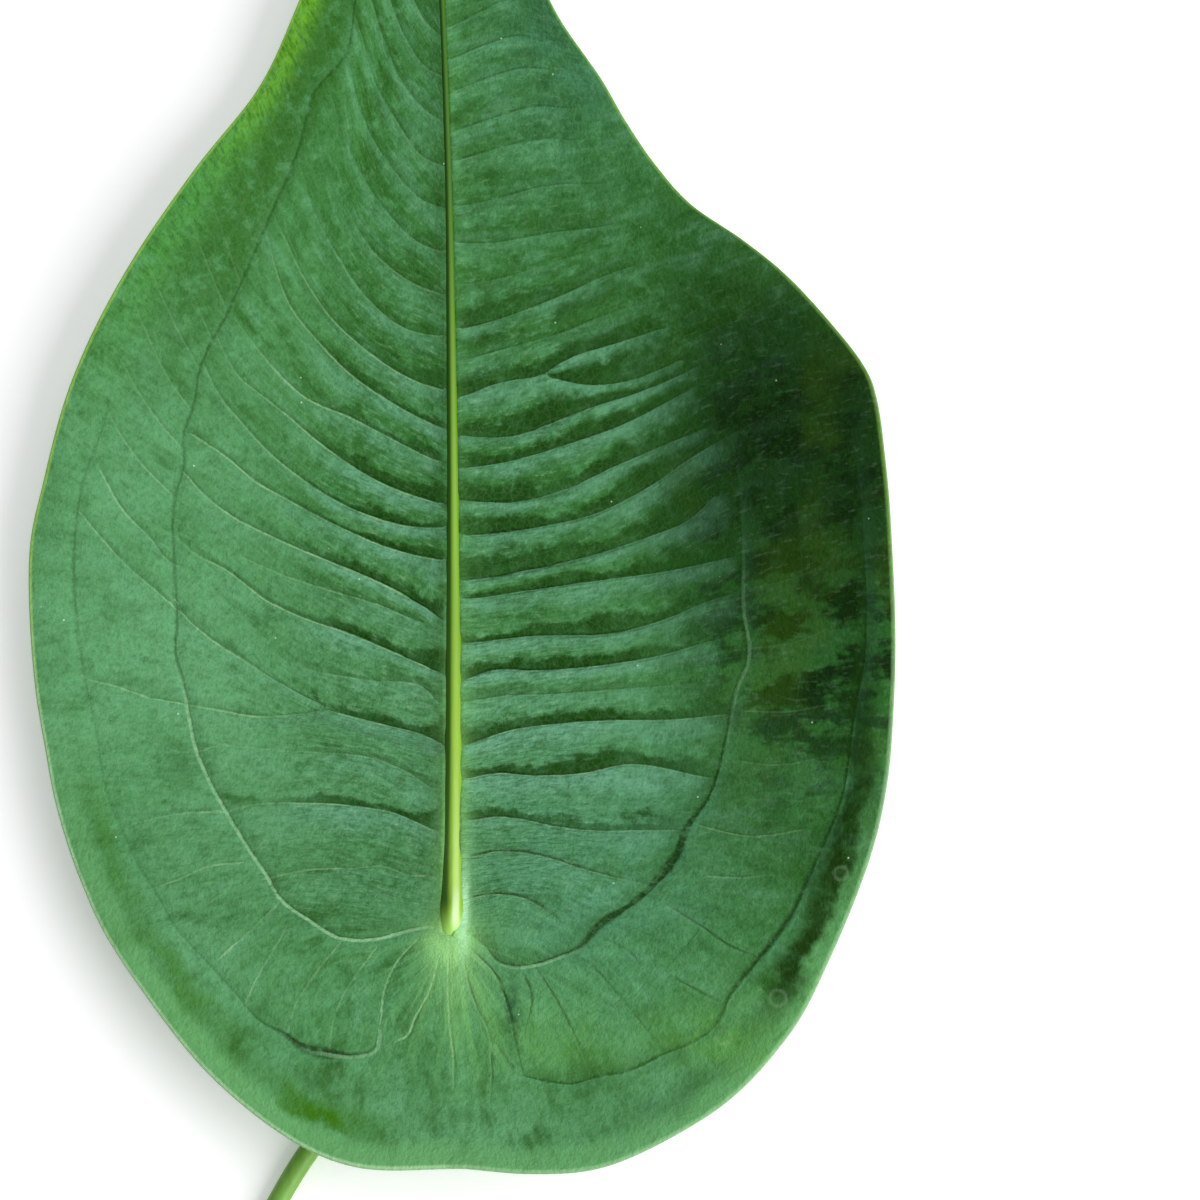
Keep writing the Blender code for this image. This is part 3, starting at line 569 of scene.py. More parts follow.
# Among the fields, a painted bluish sheen lies right of the midrib's foot and a painted sky reflection near the tip.
fields = {
    "panel_cos": np.cos(turn_of_panel), "panel_sin": np.sin(turn_of_panel), "panel_width": np.clip(panel, 1, far),
    "vein_weight": vein_weight, "grooves": vein_weight * relief, "long_vein": long_vein, "long_weight": long_weight,
    "from_rim": from_rim, "from_rib": run, "station": station, "column": columns[None, :], "plan_x": x, "plan_y": y,
    "bloom": np.clip(bloom, 0, 1), "warm": np.clip(warm, 0, 1), "shade": shade, "sky": patch(24, 198, 20, 32), "blue_wax": patch(26, 16, 24, 26),
    "quilts": quilts, "pale_panels": quilts * (1 - 0.3 * right * ease(y, 52, 70)), "clouds": clouds, "patchy": 0.2 + 0.8 * ease(y, 92, 50), "crinkle": crinkle, "lime": ease(y, 155, 190), "low": ease(y, 95, 20), "deep_band": deep_band, "near_rib": ease(run, 24, 4), "pale_lines": pale_lines,
    "dark_creases": dark_creases, "long_slopes": long_slopes, "wide_crease": wide_crease, "long_creases": long_creases,
    "long_lines": np.clip(long_lines, 0, 1), "rim_band": rim_band, "olive": np.clip(olive, 0, 1),
    "edge_light": 0.5 + 0.5 * left, "right": right, "foot_tone": 0.8 * patch(56, -22, 16, 9) + 0.5 * patch(20, -22, 14, 8), "olive_place": from_rim + 1.9 * right, "glow": np.clip(glow, 0, 1), "fan": fan, "fold": fold,
    "beside_rib": beside_rib, "rib_shine": rib_shine,
}
fields = {name: over_profile(values) for name, values in fields.items()}
fields["under"] = under
# Three fields share one vector attribute, because every attribute that a shader reads costs render time.
field_names = sorted(fields)
trios = {"skin_fields_%d" % k: field_names[3 * k:3 * k + 3] for k in range((len(field_names) + 2) // 3)}

sheet = bmesh.new()
around, profile = len(points) - 1, points.shape[1] - 1
bmesh.ops.create_grid(sheet, x_segments=around, y_segments=profile, size=0.5)
row_layer = sheet.verts.layers.int.new("row")
place_layer = sheet.verts.layers.int.new("place")
metres = (points + joint) * MM
for vert in sheet.verts:
    row, place = round((vert.co.x + 0.5) * around), round((vert.co.y + 0.5) * profile)
    vert[row_layer], vert[place_layer] = row, place
    vert.co = metres[row, place]
open_edge = [vert for vert in sheet.verts if vert.is_boundary]
bmesh.ops.remove_doubles(sheet, verts=open_edge, dist=1e-7)
bmesh.ops.recalc_face_normals(sheet, faces=sheet.faces)
for face in sheet.faces:
    face.smooth = True
blade_mesh = bpy.data.meshes.new("leaf_blade_surface")
sheet.to_mesh(blade_mesh)
sheet.free()
rows = np.zeros(len(blade_mesh.vertices), np.int32)
places = np.zeros(len(blade_mesh.vertices), np.int32)
blade_mesh.attributes["row"].data.foreach_get("value", rows)
blade_mesh.attributes["place"].data.foreach_get("value", places)
for group, trio in trios.items():
    layer = blade_mesh.attributes.new(group, "FLOAT_VECTOR", "POINT")
    values = np.zeros((len(rows), 3), np.float32)
    for k, name in enumerate(trio):
        values[:, k] = fields[name][rows, places]
    layer.data.foreach_set("vector", values.ravel())
blade_mesh.attributes.remove(blade_mesh.attributes["row"])
blade_mesh.attributes.remove(blade_mesh.attributes["place"])
blade = bpy.data.objects.new("blade", blade_mesh)
bpy.context.scene.collection.objects.link(blade)


def linear(hex_colour):
    """A six-digit sRGB colour as the linear values that a shader takes."""
    shares = [int(hex_colour[i:i + 2], 16) / 255 for i in (0, 2, 4)]
    return (*[c / 12.92 if c <= 0.04045 else ((c + 0.055) / 1.055) ** 2.4 for c in shares], 1.0)


def add(kind, *values, output=0, named=None, **settings):
    """Adds a node to the tree in hand, with its settings, and gives back one of its outputs. Its inputs are
    filled in their order, or by name, with numbers, hex colours or the outputs of other nodes."""
    node = tree.nodes.new("ShaderNode" + kind)
    for name, value in settings.items():
        setattr(node, name, value)
    sockets = [socket for socket in node.inputs if socket.enabled]
    for socket, value in [*zip(sockets, values), *((node.inputs[name], value) for name, value in (named or {}).items())]:
        if isinstance(value, bpy.types.NodeSocket):
            tree.links.new(value, socket)
        else:
            socket.default_value = linear(value) if isinstance(value, str) else value
    return [socket for socket in node.outputs if socket.enabled][output] if node.outputs else None


TIMES = {"operation": "MULTIPLY"}
PLUS = {"operation": "ADD"}
MINUS = {"operation": "SUBTRACT"}
SOFT = {"interpolation_type": "SMOOTHSTEP"}
COLOUR = {"data_type": "RGBA"}

# Living leaf skin under a thin wax: painted shade makes it deep green where it turns to the stalk's side, and a
# painted sheen makes it pale blue-green where it turns to the tip and the light. It is half glossy, with a fine net
# between the side veins.
leaf_skin = bpy.data.materials.new("waxy_leaf_skin")
leaf_skin.use_nodes = True
tree = leaf_skin.node_tree
tree.nodes.clear()
read = {}
for group, trio in trios.items():
    parts = add("SeparateXYZ", add("Attribute", attribute_name=group, output=1)).node.outputs
    read.update(zip(trio, parts))
spot = add("TexCoord", output=3)

# Random variation, finest first: the crumple of the skin, its mottling, blotches and slow drifts of colour.
# Each scale is one over a feature's size in metres. The streaks are 3 mm long and 1 mm wide, along the veins.
grain = add("TexNoise", spot, 1 / 0.0013, 3.0, 0.7)
mottle = add("TexNoise", spot, 1 / 0.004, 5.0, 0.68)
blotch = add("TexNoise", spot, 1 / 0.009, 4.0, 0.62)
drift = add("TexNoise", spot, 1 / 0.022, 3.0, 0.5)
streak_x = add("Math", read["from_rib"], 1 / 3.0, **TIMES)
streak_place = add("CombineXYZ", streak_x, read["station"])
streak = add("TexNoise", streak_place, 1.0, 3.0, 0.62)
cloud_x = add("Math", read["from_rib"], 1 / 16.0, **TIMES)
cloud_place = add("CombineXYZ", cloud_x, add("Math", read["station"], 1 / 5.5, **TIMES))
cloud = add("TexNoise", cloud_place, 1.0, 3.0, 0.6)
mottle_swing = add("Math", mottle, 0.5, **MINUS)
grain_swing = add("Math", grain, 0.5, **MINUS)

# The place across a panel runs from 0 at the vein on the stalk's side to 1 at the vein on the tip's side.
turned = add("Math", add("Math", read["panel_sin"], read["panel_cos"], operation="ARCTAN2"), 0.5 / math.pi, **TIMES)
place = add("Math", add("Math", turned, 1.0, **PLUS), operation="FRACT")
vein_gap = add("Math", turned, read["panel_width"], **TIMES)
near_vein = add("Math", add("Math", place, 0.25, operation="MINIMUM"), 2.6, **TIMES)
rough_place = add("Math", mottle_swing, near_vein, place, operation="MULTIPLY_ADD")
cloud_swing = add("Math", add("Math", cloud, 0.5, **MINUS), near_vein, **TIMES)
rough_place = add("Math", cloud_swing, 0.8, rough_place, operation="MULTIPLY_ADD")

# Skin colours: mid green, paler and bluer under a painted sheen, yellower beside the tip, and very deep where
# painted shade lies on the far wall that turns away from the light.
colour = add("Mix", drift, "2F6C2C", "3D7A36", **COLOUR)
# A painted sheen, paler and bluer, where the broad light would be mirrored in the wax.
painted_sheen_share = add("Math", read["bloom"], add("MapRange", drift, 0.3, 0.65, 0.65, 1.0, **SOFT), **TIMES)
colour = add("Mix", painted_sheen_share, colour, "5B9865", **COLOUR)
dark_cloud = add("Math", add("MapRange", cloud, 0.5, 0.3, 0.0, 0.8, **SOFT), read["clouds"], **TIMES)
colour = add("Mix", dark_cloud, colour, "225408", **COLOUR)
light_cloud = add("Math", add("MapRange", cloud, 0.5, 0.7, 0.0, 0.55, **SOFT), read["clouds"], **TIMES)
colour = add("Mix", light_cloud, colour, "5E9A70", **COLOUR)
# A painted bluish sheen right of the midrib's foot.
painted_blue_sheen_share = add("Math", read["blue_wax"], add("MapRange", blotch, 0.35, 0.6, 0.25, 0.6, **SOFT), **TIMES)
colour = add("Mix", painted_blue_sheen_share, colour, "5A9A7C", **COLOUR)
young_margin = add("Mix", read["lime"], "448A36", "62A41C", **COLOUR)
young = add("Mix", add("MapRange", read["column"], 2.6, 3.6, **SOFT), "2A6014", young_margin, **COLOUR)
young_share = add("Math", read["warm"], add("MapRange", streak, 0.35, 0.62, 1.0, 0.75, **SOFT), **TIMES)
colour = add("Mix", young_share, colour, young, **COLOUR)
young_streaks = add("Math", read["warm"], add("MapRange", streak, 0.5, 0.64, 0.0, 0.4, **SOFT), **TIMES)
colour = add("Mix", young_streaks, colour, "225010", **COLOUR)
bare = add("Math", cloud, add("Math", blotch, 0.5, **MINUS), **MINUS)
bare_patch = add("Math", add("MapRange", bare, 0.42, 0.58, 0.95, 0.0, **SOFT), read["patchy"], **TIMES)
# Painted shade on the far wall, broken by lighter patches.
painted_shade_on_wall = add("Math", read["shade"], add("Math", 1.0, bare_patch, **MINUS), **TIMES)
colour = add("Mix", painted_shade_on_wall, colour, "0A2600", **COLOUR)
wall_patches = add("Math", read["shade"], add("MapRange", drift, 0.5, 0.66, 0.0, 0.4, **SOFT), **TIMES)
colour = add("Mix", wall_patches, colour, "3E6410", **COLOUR)
# A painted sky reflection near the tip.
sky = add("Math", read["sky"], add("MapRange", blotch, 0.35, 0.6, 0.3, 0.8, **SOFT), **TIMES)
colour = add("Mix", sky, colour, "4C8A62", **COLOUR)

# Each panel is painted with shade, deep green just beyond its vein, and with a sheen that pales it toward the
# next one; near the midrib painted glints lie on the sheen.
painted_panel_sheen = add("Math", add("MapRange", rough_place, 0.36, 0.86, **SOFT), read["pale_panels"], **TIMES)
painted_panel_sheen = add("Math", painted_panel_sheen, add("MapRange", blotch, 0.35, 0.6, 0.5, 1.0, **SOFT), **TIMES)
colour = add("Mix", add("Math", painted_panel_sheen, 0.9, **TIMES), colour, "68A482", **COLOUR)
painted_glint = add("Math", add("MapRange", streak, 0.55, 0.68, 0.0, 0.5, **SOFT), read["near_rib"], **TIMES)
colour = add("Mix", add("Math", painted_glint, painted_panel_sheen, **TIMES), colour, "8CBCA0", **COLOUR)
band_end = add("Math", read["deep_band"], add("MapRange", drift, 0.38, 0.62, 0.6, 1.35, **SOFT), **TIMES)
across_band = add("Math", rough_place, band_end, operation="DIVIDE")
painted_panel_shade = add("Math", add("MapRange", across_band, 0.45, 1.0, 1.0, 0.0, **SOFT), read["quilts"], **TIMES)
painted_panel_shade = add("Math", painted_panel_shade, add("MapRange", blotch, 0.36, 0.58, 0.7, 1.0, **SOFT), **TIMES)
colour = add("Mix", painted_panel_shade, colour, "133F00", **COLOUR)

# Side veins: a painted highlight, a thin pale line where the light catches them, and painted shade, a dark
# crease on the right and toward the tip.
fine_gap = add("Math", grain_swing, 0.3, vein_gap, operation="MULTIPLY_ADD")
vein_seen = add("MapRange", drift, 0.38, 0.6, 0.25, 1.0, **SOFT)
off_line = add("Math", add("Math", fine_gap, 0.12, **PLUS), operation="ABSOLUTE")
line = add("Math", add("MapRange", off_line, 0.08, 0.32, 0.8, 0.0, **SOFT), vein_seen, **TIMES)
colour = add("Mix", add("Math", line, read["pale_lines"], **TIMES), colour, "96C48C", **COLOUR)
off_crease = add("Math", add("Math", fine_gap, 0.22, **MINUS), operation="ABSOLUTE")
crease_width = add("MapRange", mottle, 0.35, 0.62, 0.2, 0.75, **SOFT)
painted_crease_shade_share = add("MapRange", off_crease, 0.05, crease_width, 0.95, 0.0, **SOFT)
painted_crease_shade_share = add("Math", add("Math", painted_crease_shade_share, vein_seen, **TIMES), read["dark_creases"], **TIMES)
colour = add("Mix", painted_crease_shade_share, colour, "0E2A04", **COLOUR)

# Lengthwise veins: painted shade as a dark slope on the midrib's side and a dark crease, a painted light slope
# on their outer side, and a pale line on the lower stretches.
rough_long = add("Math", grain_swing, 0.6, read["long_vein"], operation="MULTIPLY_ADD")
inside = add("MapRange", read["long_vein"], -0.15, 0.15, **SOFT)
painted_inner_slope_shade = add("Math", add("MapRange", read["long_vein"], 0.0, 4.2, 1.0, 0.0, **SOFT), inside, **TIMES)
painted_inner_slope_shade = add("Math", painted_inner_slope_shade, add("MapRange", mottle, 0.3, 0.6, 0.4, 1.0, **SOFT), **TIMES)
outside = add("MapRange", read["long_vein"], -0.15, 0.15, 0.35, 0.0, **SOFT)
painted_outer_slope_light = add("Math", add("MapRange", read["long_vein"], -3.5, 0.0, **SOFT), outside, **TIMES)
colour = add("Mix", add("Math", painted_outer_slope_light, read["long_weight"], **TIMES), colour, "5A9C70", **COLOUR)
colour = add("Mix", add("Math", painted_inner_slope_shade, read["long_slopes"], **TIMES), colour, "1B4A10", **COLOUR)
off_long = add("Math", add("Math", rough_long, 0.25, **MINUS), operation="ABSOLUTE")
long_width = add("MapRange", mottle, 0.38, 0.62, 0.25, 0.8, **SOFT)
long_width = add("Math", read["wide_crease"], 0.9, long_width, operation="MULTIPLY_ADD")
long_crease_shade_share = add("MapRange", off_long, 0.1, long_width, **{**SOFT, "clamp": True})
long_crease_shade_share = add("Math", 1.0, long_crease_shade_share, **MINUS)
long_crease_shade_share = add("Math", long_crease_shade_share, read["long_creases"], use_clamp=True, **TIMES)
colour = add("Mix", long_crease_shade_share, colour, "12380C", **COLOUR)
off_light = add("Math", add("Math", rough_long, 0.15, **PLUS), operation="ABSOLUTE")
long_line = add("MapRange", off_light, 0.2, 0.55, 0.85, 0.0, **SOFT)
colour = add("Mix", add("Math", long_line, read["long_lines"], **TIMES), colour, "92C492", **COLOUR)

# Crinkled fine net: its cells of about 1.6 mm are drawn coarser than the real net, so that they show. The crumple
# between them is bumped, and it mottles the skin with painted shade and painted glints in short streaks along the
# side veins.
painted_crumple_shade = add("Math", add("MapRange", streak, 0.47, 0.66, 0.0, 0.42, **SOFT), read["crinkle"], **TIMES)
colour = add("Mix", painted_crumple_shade, colour, "1C5010", **COLOUR)
painted_crumple_glint = add("Math", add("MapRange", streak, 0.46, 0.3, 0.0, 0.36, **SOFT), read["crinkle"], **TIMES)
off_band = add("MapRange", painted_panel_shade, 0.0, 1.0, 1.0, 0.1)
painted_crumple_glint = add("Math", painted_crumple_glint, off_band, **TIMES)
colour = add("Mix", painted_crumple_glint, colour, "8AB88E", **COLOUR)
dark_spots = add("MapRange", mottle, 0.46, 0.32, 0.0, 0.34, **SOFT)
colour = add("Mix", dark_spots, colour, "1A4C10", **COLOUR)
light_share = add("MapRange", read["shade"], 0.0, 1.0, 0.3, 0.04)
light_spots = add("Math", add("MapRange", mottle, 0.5, 0.68, **SOFT), light_share, **TIMES)
light_spots = add("Math", light_spots, off_band, **TIMES)
colour = add("Mix", light_spots, colour, "64A872", **COLOUR)
colour = add("Mix", add("MapRange", grain, 0.47, 0.68, 0.0, 0.28, **SOFT), colour, "1C5610", **COLOUR)
net = add("TexVoronoi", spot, 1 / 0.0016, feature="DISTANCE_TO_EDGE")
net_line = add("MapRange", net, 0.0, 0.14, 1.0, 0.0, **SOFT)
net_share = add("MapRange", read["shade"], 0.0, 1.0, 0.05, 0.015)
colour = add("Mix", add("Math", net_line, net_share, **TIMES), colour, "80B47C", **COLOUR)

# The rim: a smooth pale band, mottled olive inside it round the base and up the right, and a thin lime edge
# that is partly the margin's own colour and partly a painted highlight.
rim_place = add("Math", add("Math", blotch, 0.5, **MINUS), 10.0, read["olive_place"], operation="MULTIPLY_ADD")
foot_tone = add("Math", read["foot_tone"], add("MapRange", blotch, 0.35, 0.6, 0.3, 0.8, **SOFT), **TIMES)
colour = add("Mix", foot_tone, colour, "62A44C", **COLOUR)
colour = add("Mix", read["rim_band"], colour, "64A462", **COLOUR)
olive_share = add("Math", read["olive"], add("MapRange", rim_place, 3.5, 6.0, **SOFT), **TIMES)
olive_share = add("Math", olive_share, add("MapRange", rim_place, 7.5, 11.5, 1.0, 0.0, **SOFT), **TIMES)
olive_share = add("Math", olive_share, add("MapRange", mottle, 0.3, 0.6, 0.55, 1.0, **SOFT), **TIMES)
olive_colour = add("Mix", read["right"], "366F06", "153600", **COLOUR)
colour = add("Mix", olive_share, colour, olive_colour, **COLOUR)
# The lime edge: partly its own colour, partly a painted highlight.
painted_edge_highlight = add("MapRange", read["from_rim"], 0.15, 0.7, 0.8, 0.0, **SOFT)
edge_colour = add("Mix", read["low"], "8CBE50", "A0CC98", **COLOUR)
colour = add("Mix", add("Math", painted_edge_highlight, read["edge_light"], **TIMES), colour, edge_colour, **COLOUR)

# The joint glows pale yellow-green into the foot of the blade, and a pale line follows the midrib. Just right
# of the midrib's foot lies a painted highlight.
angle = add("Math", read["plan_x"], add("Math", read["plan_y"], -1.0, **TIMES), operation="ARCTAN2")
fan_place = add("CombineXYZ", add("Math", angle, 7.0, **TIMES), add("Math", read["plan_y"], 0.03, **TIMES))
fan_streak = add("MapRange", add("TexNoise", fan_place, 1.0, 2.0), 0.45, 0.65, 0.0, 0.45, **SOFT)
colour = add("Mix", add("Math", fan_streak, read["fan"], **TIMES), colour, "74B468", **COLOUR)
colour = add("Mix", read["beside_rib"], colour, "78B25C", **COLOUR)
glow_share = add("Math", read["glow"], add("MapRange", streak, 0.3, 0.7, 0.6, 0.95, **SOFT), **TIMES)
colour = add("Mix", glow_share, colour, "98D682", **COLOUR)
fold_share = add("Math", read["fold"], add("MapRange", grain, 0.35, 0.6, 0.4, 0.75, **SOFT), **TIMES)
colour = add("Mix", fold_share, colour, "173F22", **COLOUR)
# A painted highlight just right of the midrib's foot.
painted_rib_highlight_share = add("Math", read["rib_shine"], add("MapRange", mottle, 0.3, 0.6, 0.45, 0.85, **SOFT), **TIMES)
colour = add("Mix", painted_rib_highlight_share, colour, "B0E4B4", **COLOUR)

# Faint pale rings near the right margin are painted glints of water drops, and dust lies on the wax in specks.
plan_place = add("CombineXYZ", read["plan_x"], read["plan_y"])
for drop_x, drop_y, radius in ((65.0, -13.3, 1.6), (54.2, -20.9, 1.4), (77.9, 11.5, 1.3)):
    off_centre = add("VectorMath", plan_place, (drop_x, drop_y, 0.0), operation="DISTANCE")
    wobbly = add("Math", mottle_swing, 0.6, off_centre, operation="MULTIPLY_ADD")
    off_ring = add("Math", add("Math", wobbly, radius, **MINUS), operation="ABSOLUTE")
    ring = add("Math", add("MapRange", off_ring, 0.0, 0.6, 0.24, 0.0, **SOFT), blotch, **TIMES)
    colour = add("Mix", ring, colour, "A8CCA4", **COLOUR)
dust_gap = add("TexVoronoi", spot, 170.0)
has_speck = add("Math", add("SeparateColor", dust_gap.node.outputs["Color"]), 0.6, operation="GREATER_THAN")
speck = add("Math", add("MapRange", dust_gap, 0.02, 0.045, 0.7, 0.0, **SOFT), has_speck, **TIMES)
colour = add("Mix", speck, colour, "C8DCC4", **COLOUR)

# The underside is paler and mat, and its veins stand out lighter still.
underside = add("Mix", mottle, "6C9E66", "80B078", **COLOUR)
under_vein = add("MapRange", add("Math", vein_gap, operation="ABSOLUTE"), 0.3, 0.8, 0.7, 0.0, **SOFT)
underside = add("Mix", add("Math", under_vein, read["vein_weight"], **TIMES), underside, "A4C88A", **COLOUR)
colour = add("Mix", read["under"], colour, underside, **COLOUR)

groove = add("MapRange", add("Math", vein_gap, operation="ABSOLUTE"), 0.0, 0.8, -1.0, 0.0, **SOFT)
height = add("Math", groove, read["grooves"], **TIMES)
height = add("Math", grain, 1.2, height, operation="MULTIPLY_ADD")
height = add("Math", streak, read["crinkle"], height, operation="MULTIPLY_ADD")
bump = add("Bump", named={"Strength": 0.8, "Distance": 0.0005, "Height": height})
roughness = add("MapRange", mottle, 0.2, 0.8, 0.4, 0.55)
skin = add("BsdfPrincipled", colour, 0.0, roughness, 1.42, named={"Normal": bump, "Specular IOR Level": 0.12})
add("OutputMaterial", skin)
blade_mesh.materials.append(leaf_skin)
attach(blade, "root")
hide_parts("leaf_blade")


# The stalk is one round fleshy body. It lies on the table, thickens into the knee under the blade, passes up
# through it and runs to the tip as the raised midrib, brighter and more yellow than the rest.
# The petiole from the joint to its cut end: place of its middle, radius.
petiole = (
    (0.0, 3.6, 10.5, 2.5),
    (-0.1, 0.6, 9.4, 2.7),
    (-0.8, -2.8, 7.7, 2.8),
    (-2.6, -7.0, 6.1, 2.75),
    (-6.0, -12.5, 4.6, 2.6),
    (-11.5, -20.0, 3.3, 2.4),
    (-20.0, -31.0, 2.4, 2.2),
    (-29.4, -43.5, 2.1, 2.1),
    (-41.0, -65.0, 2.1, 2.05),
    (-56.0, -95.0, 2.1, 2.05),
    (-72.0, -126.0, 2.1, 2.1),
    (-91.0, -160.0, 2.2, 2.25),
)
midrib_foot = (0.0, 8.0, 10.4, 2.2, 1.3, 2.5)
sections = [(px, py, pz, radius, radius, radius) for px, py, pz, radius in petiole[::-1]] + [midrib_foot]
sections += [(rx, ry, rz, half, rise, keel) for ry, rx, rz, _, half, rise, keel in midrib[1:]]
sections = np.array(sections)
sections[len(petiole):, 3] *= 1.15
sections[len(petiole) - 2:len(petiole), 2] += (0.95, 0.45)
stalk_run = running_length(sections[:, :3])
stops = np.linspace(0.0, stalk_run[-1], 620)
centres = smooth(stalk_run, sections, stops)
ahead = smooth(stalk_run, sections[:, :3], np.minimum(stops + 0.5, stalk_run[-1]))
behind = smooth(stalk_run, sections[:, :3], np.maximum(stops - 0.5, 0.0))
forward = (ahead - behind) / np.linalg.norm(ahead - behind, axis=1, keepdims=True)
sideways = np.cross(forward, (0.0, 0.0, 1.0))
sideways /= np.linalg.norm(sideways, axis=1, keepdims=True)
upward = np.cross(sideways, forward)
angles = np.linspace(0.0, 2 * np.pi, 41)
tall = np.where(np.sin(angles) > 0, centres[:, 4:5], centres[:, 5:6])
ring = centres[:, None, :3] + sideways[:, None] * (centres[:, 3:4] * np.cos(angles))[..., None]
ring = ring + upward[:, None] * (tall * np.sin(angles))[..., None]
cut_end = ring[:1].mean(axis=1, keepdims=True)
ring = np.concatenate([
    cut_end + (ring[:1] - cut_end) * 0.02, cut_end + (ring[:1] - cut_end) * 0.93 - forward[:1, None] * 0.1,
    ring, ring[-1:].mean(axis=1, keepdims=True) + (ring[-1:] - ring[-1:].mean(axis=1, keepdims=True)) * 0.05 + forward[-1:, None] * 0.5,
])
ring[..., 2] = np.maximum(ring[..., 2], 0.03)
ring[:, -1] = ring[:, 0]
stalk_grid = bmesh.new()
rounds, lengths = ring.shape[1] - 1, ring.shape[0] - 1
bmesh.ops.create_grid(stalk_grid, x_segments=rounds, y_segments=lengths, size=0.5)
along_layer = stalk_grid.verts.layers.float.new("along")
side_layer = stalk_grid.verts.layers.float.new("side")
metres = (ring + joint) * MM
foot_at = stalk_run[len(petiole) - 1]
cut_at = -foot_at - 0.3
along_values = np.concatenate([[-0.3, -0.3], stops, [stops[-1]]])
for vert in stalk_grid.verts:
    turn, length = round((vert.co.x + 0.5) * rounds), round((vert.co.y + 0.5) * lengths)
    vert[along_layer] = along_values[length] - foot_at
    vert[side_layer] = math.cos(angles[turn])
    vert.co = metres[length, turn]
bmesh.ops.remove_doubles(stalk_grid, verts=[v for v in stalk_grid.verts if v.is_boundary], dist=1e-7)
bmesh.ops.holes_fill(stalk_grid, edges=stalk_grid.edges, sides=0)
bmesh.ops.recalc_face_normals(stalk_grid, faces=stalk_grid.faces)
for face in stalk_grid.faces:
    face.smooth = True
stalk_mesh = bpy.data.meshes.new("stalk_surface")
stalk_grid.to_mesh(stalk_mesh)
stalk_grid.free()
stalk = bpy.data.objects.new("stalk_and_midrib", stalk_mesh)
bpy.context.scene.collection.objects.link(stalk)

# Fleshy stalk skin: smooth and half glossy, bright yellow-green on the midrib and leaf green on the petiole,
# with fine streaks along it. A painted highlight runs along the midrib's ridge and over its nose, and painted
# shade darkens its left side and its right edge.
stalk_skin = bpy.data.materials.new("fleshy_stalk_skin")
stalk_skin.use_nodes = True
tree = stalk_skin.node_tree
tree.nodes.clear()
read = {name: add("Attribute", attribute_name=name, output=2) for name in ("along", "side")}
spot = add("TexCoord", output=3)
streak_place = add("Mapping", spot, (0.0, 0.0, 0.0), (0.0, 0.0, 0.0), (1 / 0.0009, 1 / 0.012, 1 / 0.0009))
streak = add("TexNoise", streak_place, 1.0, 3.0, 0.6)
rib_colour = add("Mix", streak, "7CA61C", "8EBA2C", **COLOUR)
duller = add("MapRange", read["along"], 36.0, 70.0, **SOFT)
rib_colour = add("Mix", duller, rib_colour, "6F9C16", **COLOUR)
# A painted highlight along the midrib's lit ridge.
ridge_start = add("MapRange", read["side"], -0.05, 0.25, **SOFT)
ridge_end = add("MapRange", read["side"], 0.45, 0.75, 1.0, 0.0, **SOFT)
ridge_highlight_share = add("MapRange", read["along"], 2.0, 45.0, 0.6, 0.12, **SOFT)
painted_ridge_highlight = add("Math", add("Math", ridge_start, ridge_end, **TIMES), ridge_highlight_share, **TIMES)
rib_colour = add("Mix", painted_ridge_highlight, rib_colour, "CCF08C", **COLOUR)
far_rib = add("MapRange", read["along"], 80.0, 172.0, 0.0, 0.92, **SOFT)
rib_colour = add("Mix", far_rib, rib_colour, "2E6010", **COLOUR)
nose = add("MapRange", read["along"], -2.5, 3.0, 0.75, 0.0, **SOFT)
rib_colour = add("Mix", nose, rib_colour, "A4DC6C", **COLOUR)
# A painted highlight on the nose at the joint.
nose_highlight_start = add("MapRange", read["along"], -2.4, -0.4, **SOFT)
nose_highlight_end = add("MapRange", read["along"], 2.5, 7.0, 0.6, 0.0, **SOFT)
painted_nose_highlight = add("Math", add("Math", nose_highlight_start, nose_highlight_end, **TIMES), add("Math", ridge_start, ridge_end, **TIMES), **TIMES)
rib_colour = add("Mix", painted_nose_highlight, rib_colour, "DCFAC4", **COLOUR)
# Painted shade on the midrib's left side and on its right edge.
painted_side_shade = add("MapRange", read["side"], -0.45, 0.05, 0.97, 0.0, **SOFT)
painted_side_shade = add("Math", painted_side_shade, add("MapRange", read["along"], -2.8, 4.0, 0.1, 1.0, **SOFT), **TIMES)
rib_colour = add("Mix", painted_side_shade, rib_colour, "1F4E00", **COLOUR)
painted_edge_shade = add("MapRange", read["side"], 0.75, 0.97, 0.0, 0.5, **SOFT)
rib_colour = add("Mix", painted_edge_shade, rib_colour, "4E8420", **COLOUR)
petiole_colour = add("Mix", streak, "5A8C30", "7AAA46", **COLOUR)
colour = add("Mix", add("MapRange", read["along"], -9.0, -3.5, **SOFT), petiole_colour, rib_colour, **COLOUR)
cut_face = add("MapRange", read["along"], cut_at, cut_at + 0.2, 1.0, 0.0, **SOFT)
colour = add("Mix", cut_face, colour, "B4C68C", **COLOUR)
bump = add("Bump", named={"Strength": 0.4, "Distance": 0.0002, "Height": streak})
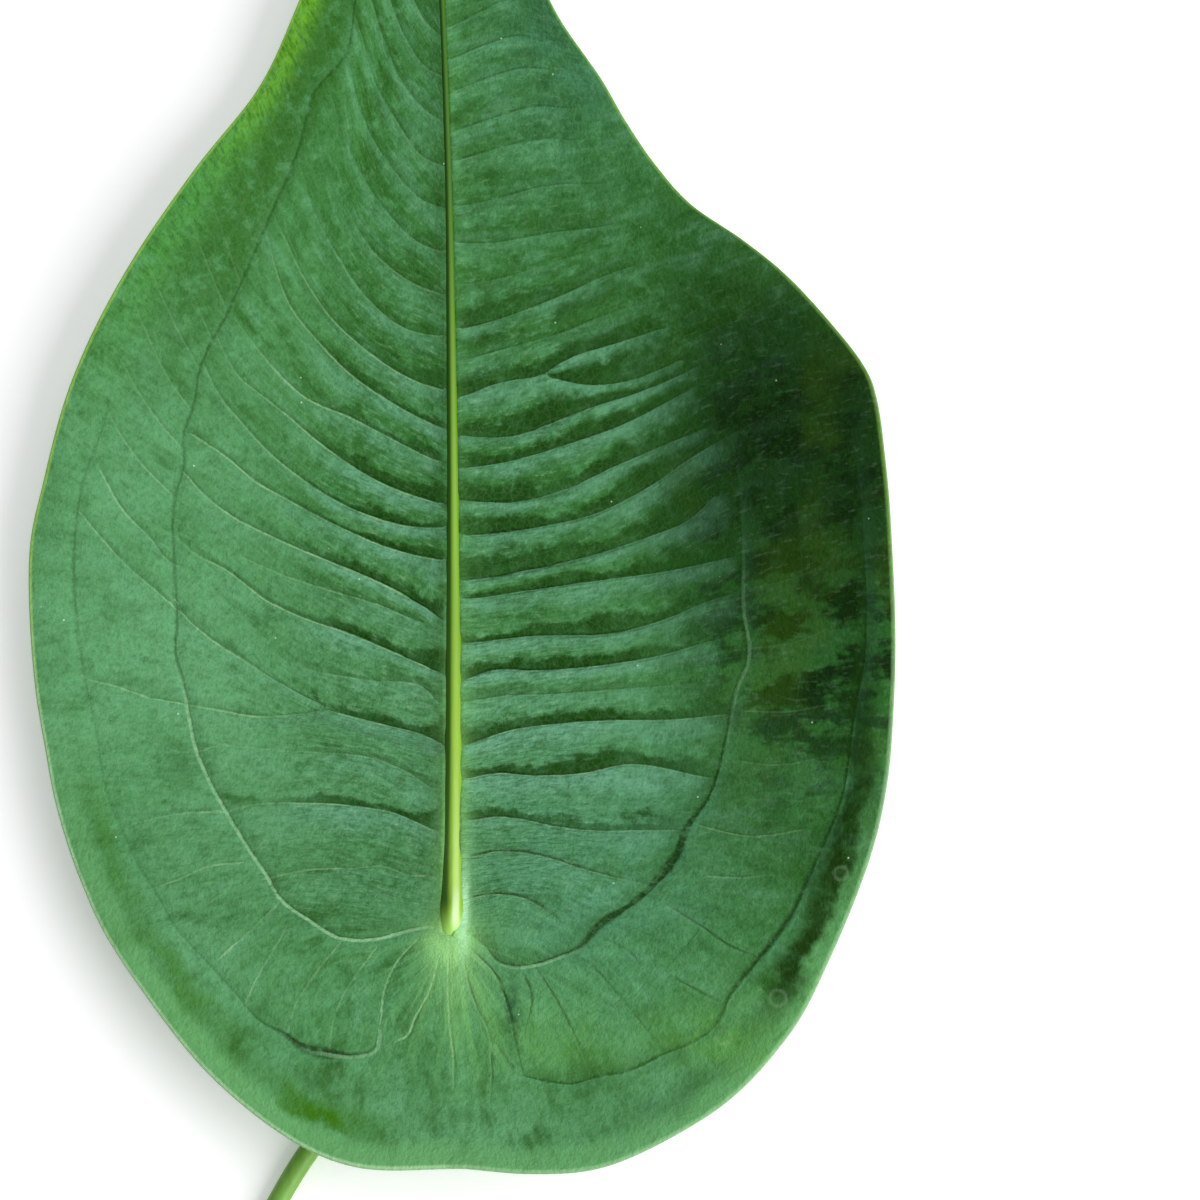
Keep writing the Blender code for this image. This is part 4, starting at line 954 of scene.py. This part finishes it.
skin = add("BsdfPrincipled", colour, 0.0, 0.4, 1.42, named={"Normal": bump, "Specular IOR Level": 0.4})
add("OutputMaterial", skin)
stalk_mesh.materials.append(stalk_skin)
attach(stalk, "root")
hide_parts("stalk")


# A plain pale table top, and soft light from the upper right that throws the shadow to the left.
floor_mesh = bpy.data.meshes.new("table_top")
table_top = bmesh.new()
bmesh.ops.create_grid(table_top, x_segments=1, y_segments=1, size=3.0)
table_top.to_mesh(floor_mesh)
table_top.free()
floor = bpy.data.objects.new("table_top", floor_mesh)
bpy.context.scene.collection.objects.link(floor)
paper = bpy.data.materials.new("matt_white_table")
paper.use_nodes = True
paper.node_tree.nodes["Principled BSDF"].inputs["Base Color"].default_value = linear("F6F6F6")
paper.node_tree.nodes["Principled BSDF"].inputs["Roughness"].default_value = 0.9
paper.node_tree.nodes["Principled BSDF"].inputs["Specular IOR Level"].default_value = 0.1
paper.node_tree.nodes["Principled BSDF"].inputs["Emission Color"].default_value = (1.0, 1.0, 1.0, 1.0)
paper.node_tree.nodes["Principled BSDF"].inputs["Emission Strength"].default_value = 0.22
floor_mesh.materials.append(paper)

for name, place, size, power, colour in (
    ("window", (1.35, -0.6, 0.95), 1.7, 41.0, (1.0, 1.0, 1.0)),
    ("skylight", (0.2, 1.2, 1.8), 2.0, 13.5, (0.96, 0.98, 1.0)),
):
    lamp_data = bpy.data.lights.new(name, "AREA")
    lamp_data.size = size
    lamp_data.energy = power
    lamp_data.color = colour
    lamp = bpy.data.objects.new(name, lamp_data)
    lamp.location = place
    toward = np.array((0.0, 0.0, 0.0)) - place
    lamp.rotation_euler = (math.atan2(math.hypot(toward[0], toward[1]), -toward[2]), 0.0, math.atan2(toward[1], toward[0]) - math.pi / 2)
    bpy.context.scene.collection.objects.link(lamp)
world = bpy.data.worlds.new("studio")
world.use_nodes = True
world.node_tree.nodes["Background"].inputs["Color"].default_value = (1.0, 1.0, 1.0, 1.0)
world.node_tree.nodes["Background"].inputs["Strength"].default_value = 0.38
bpy.context.scene.world = world
bpy.context.scene.view_settings.view_transform = "Standard"
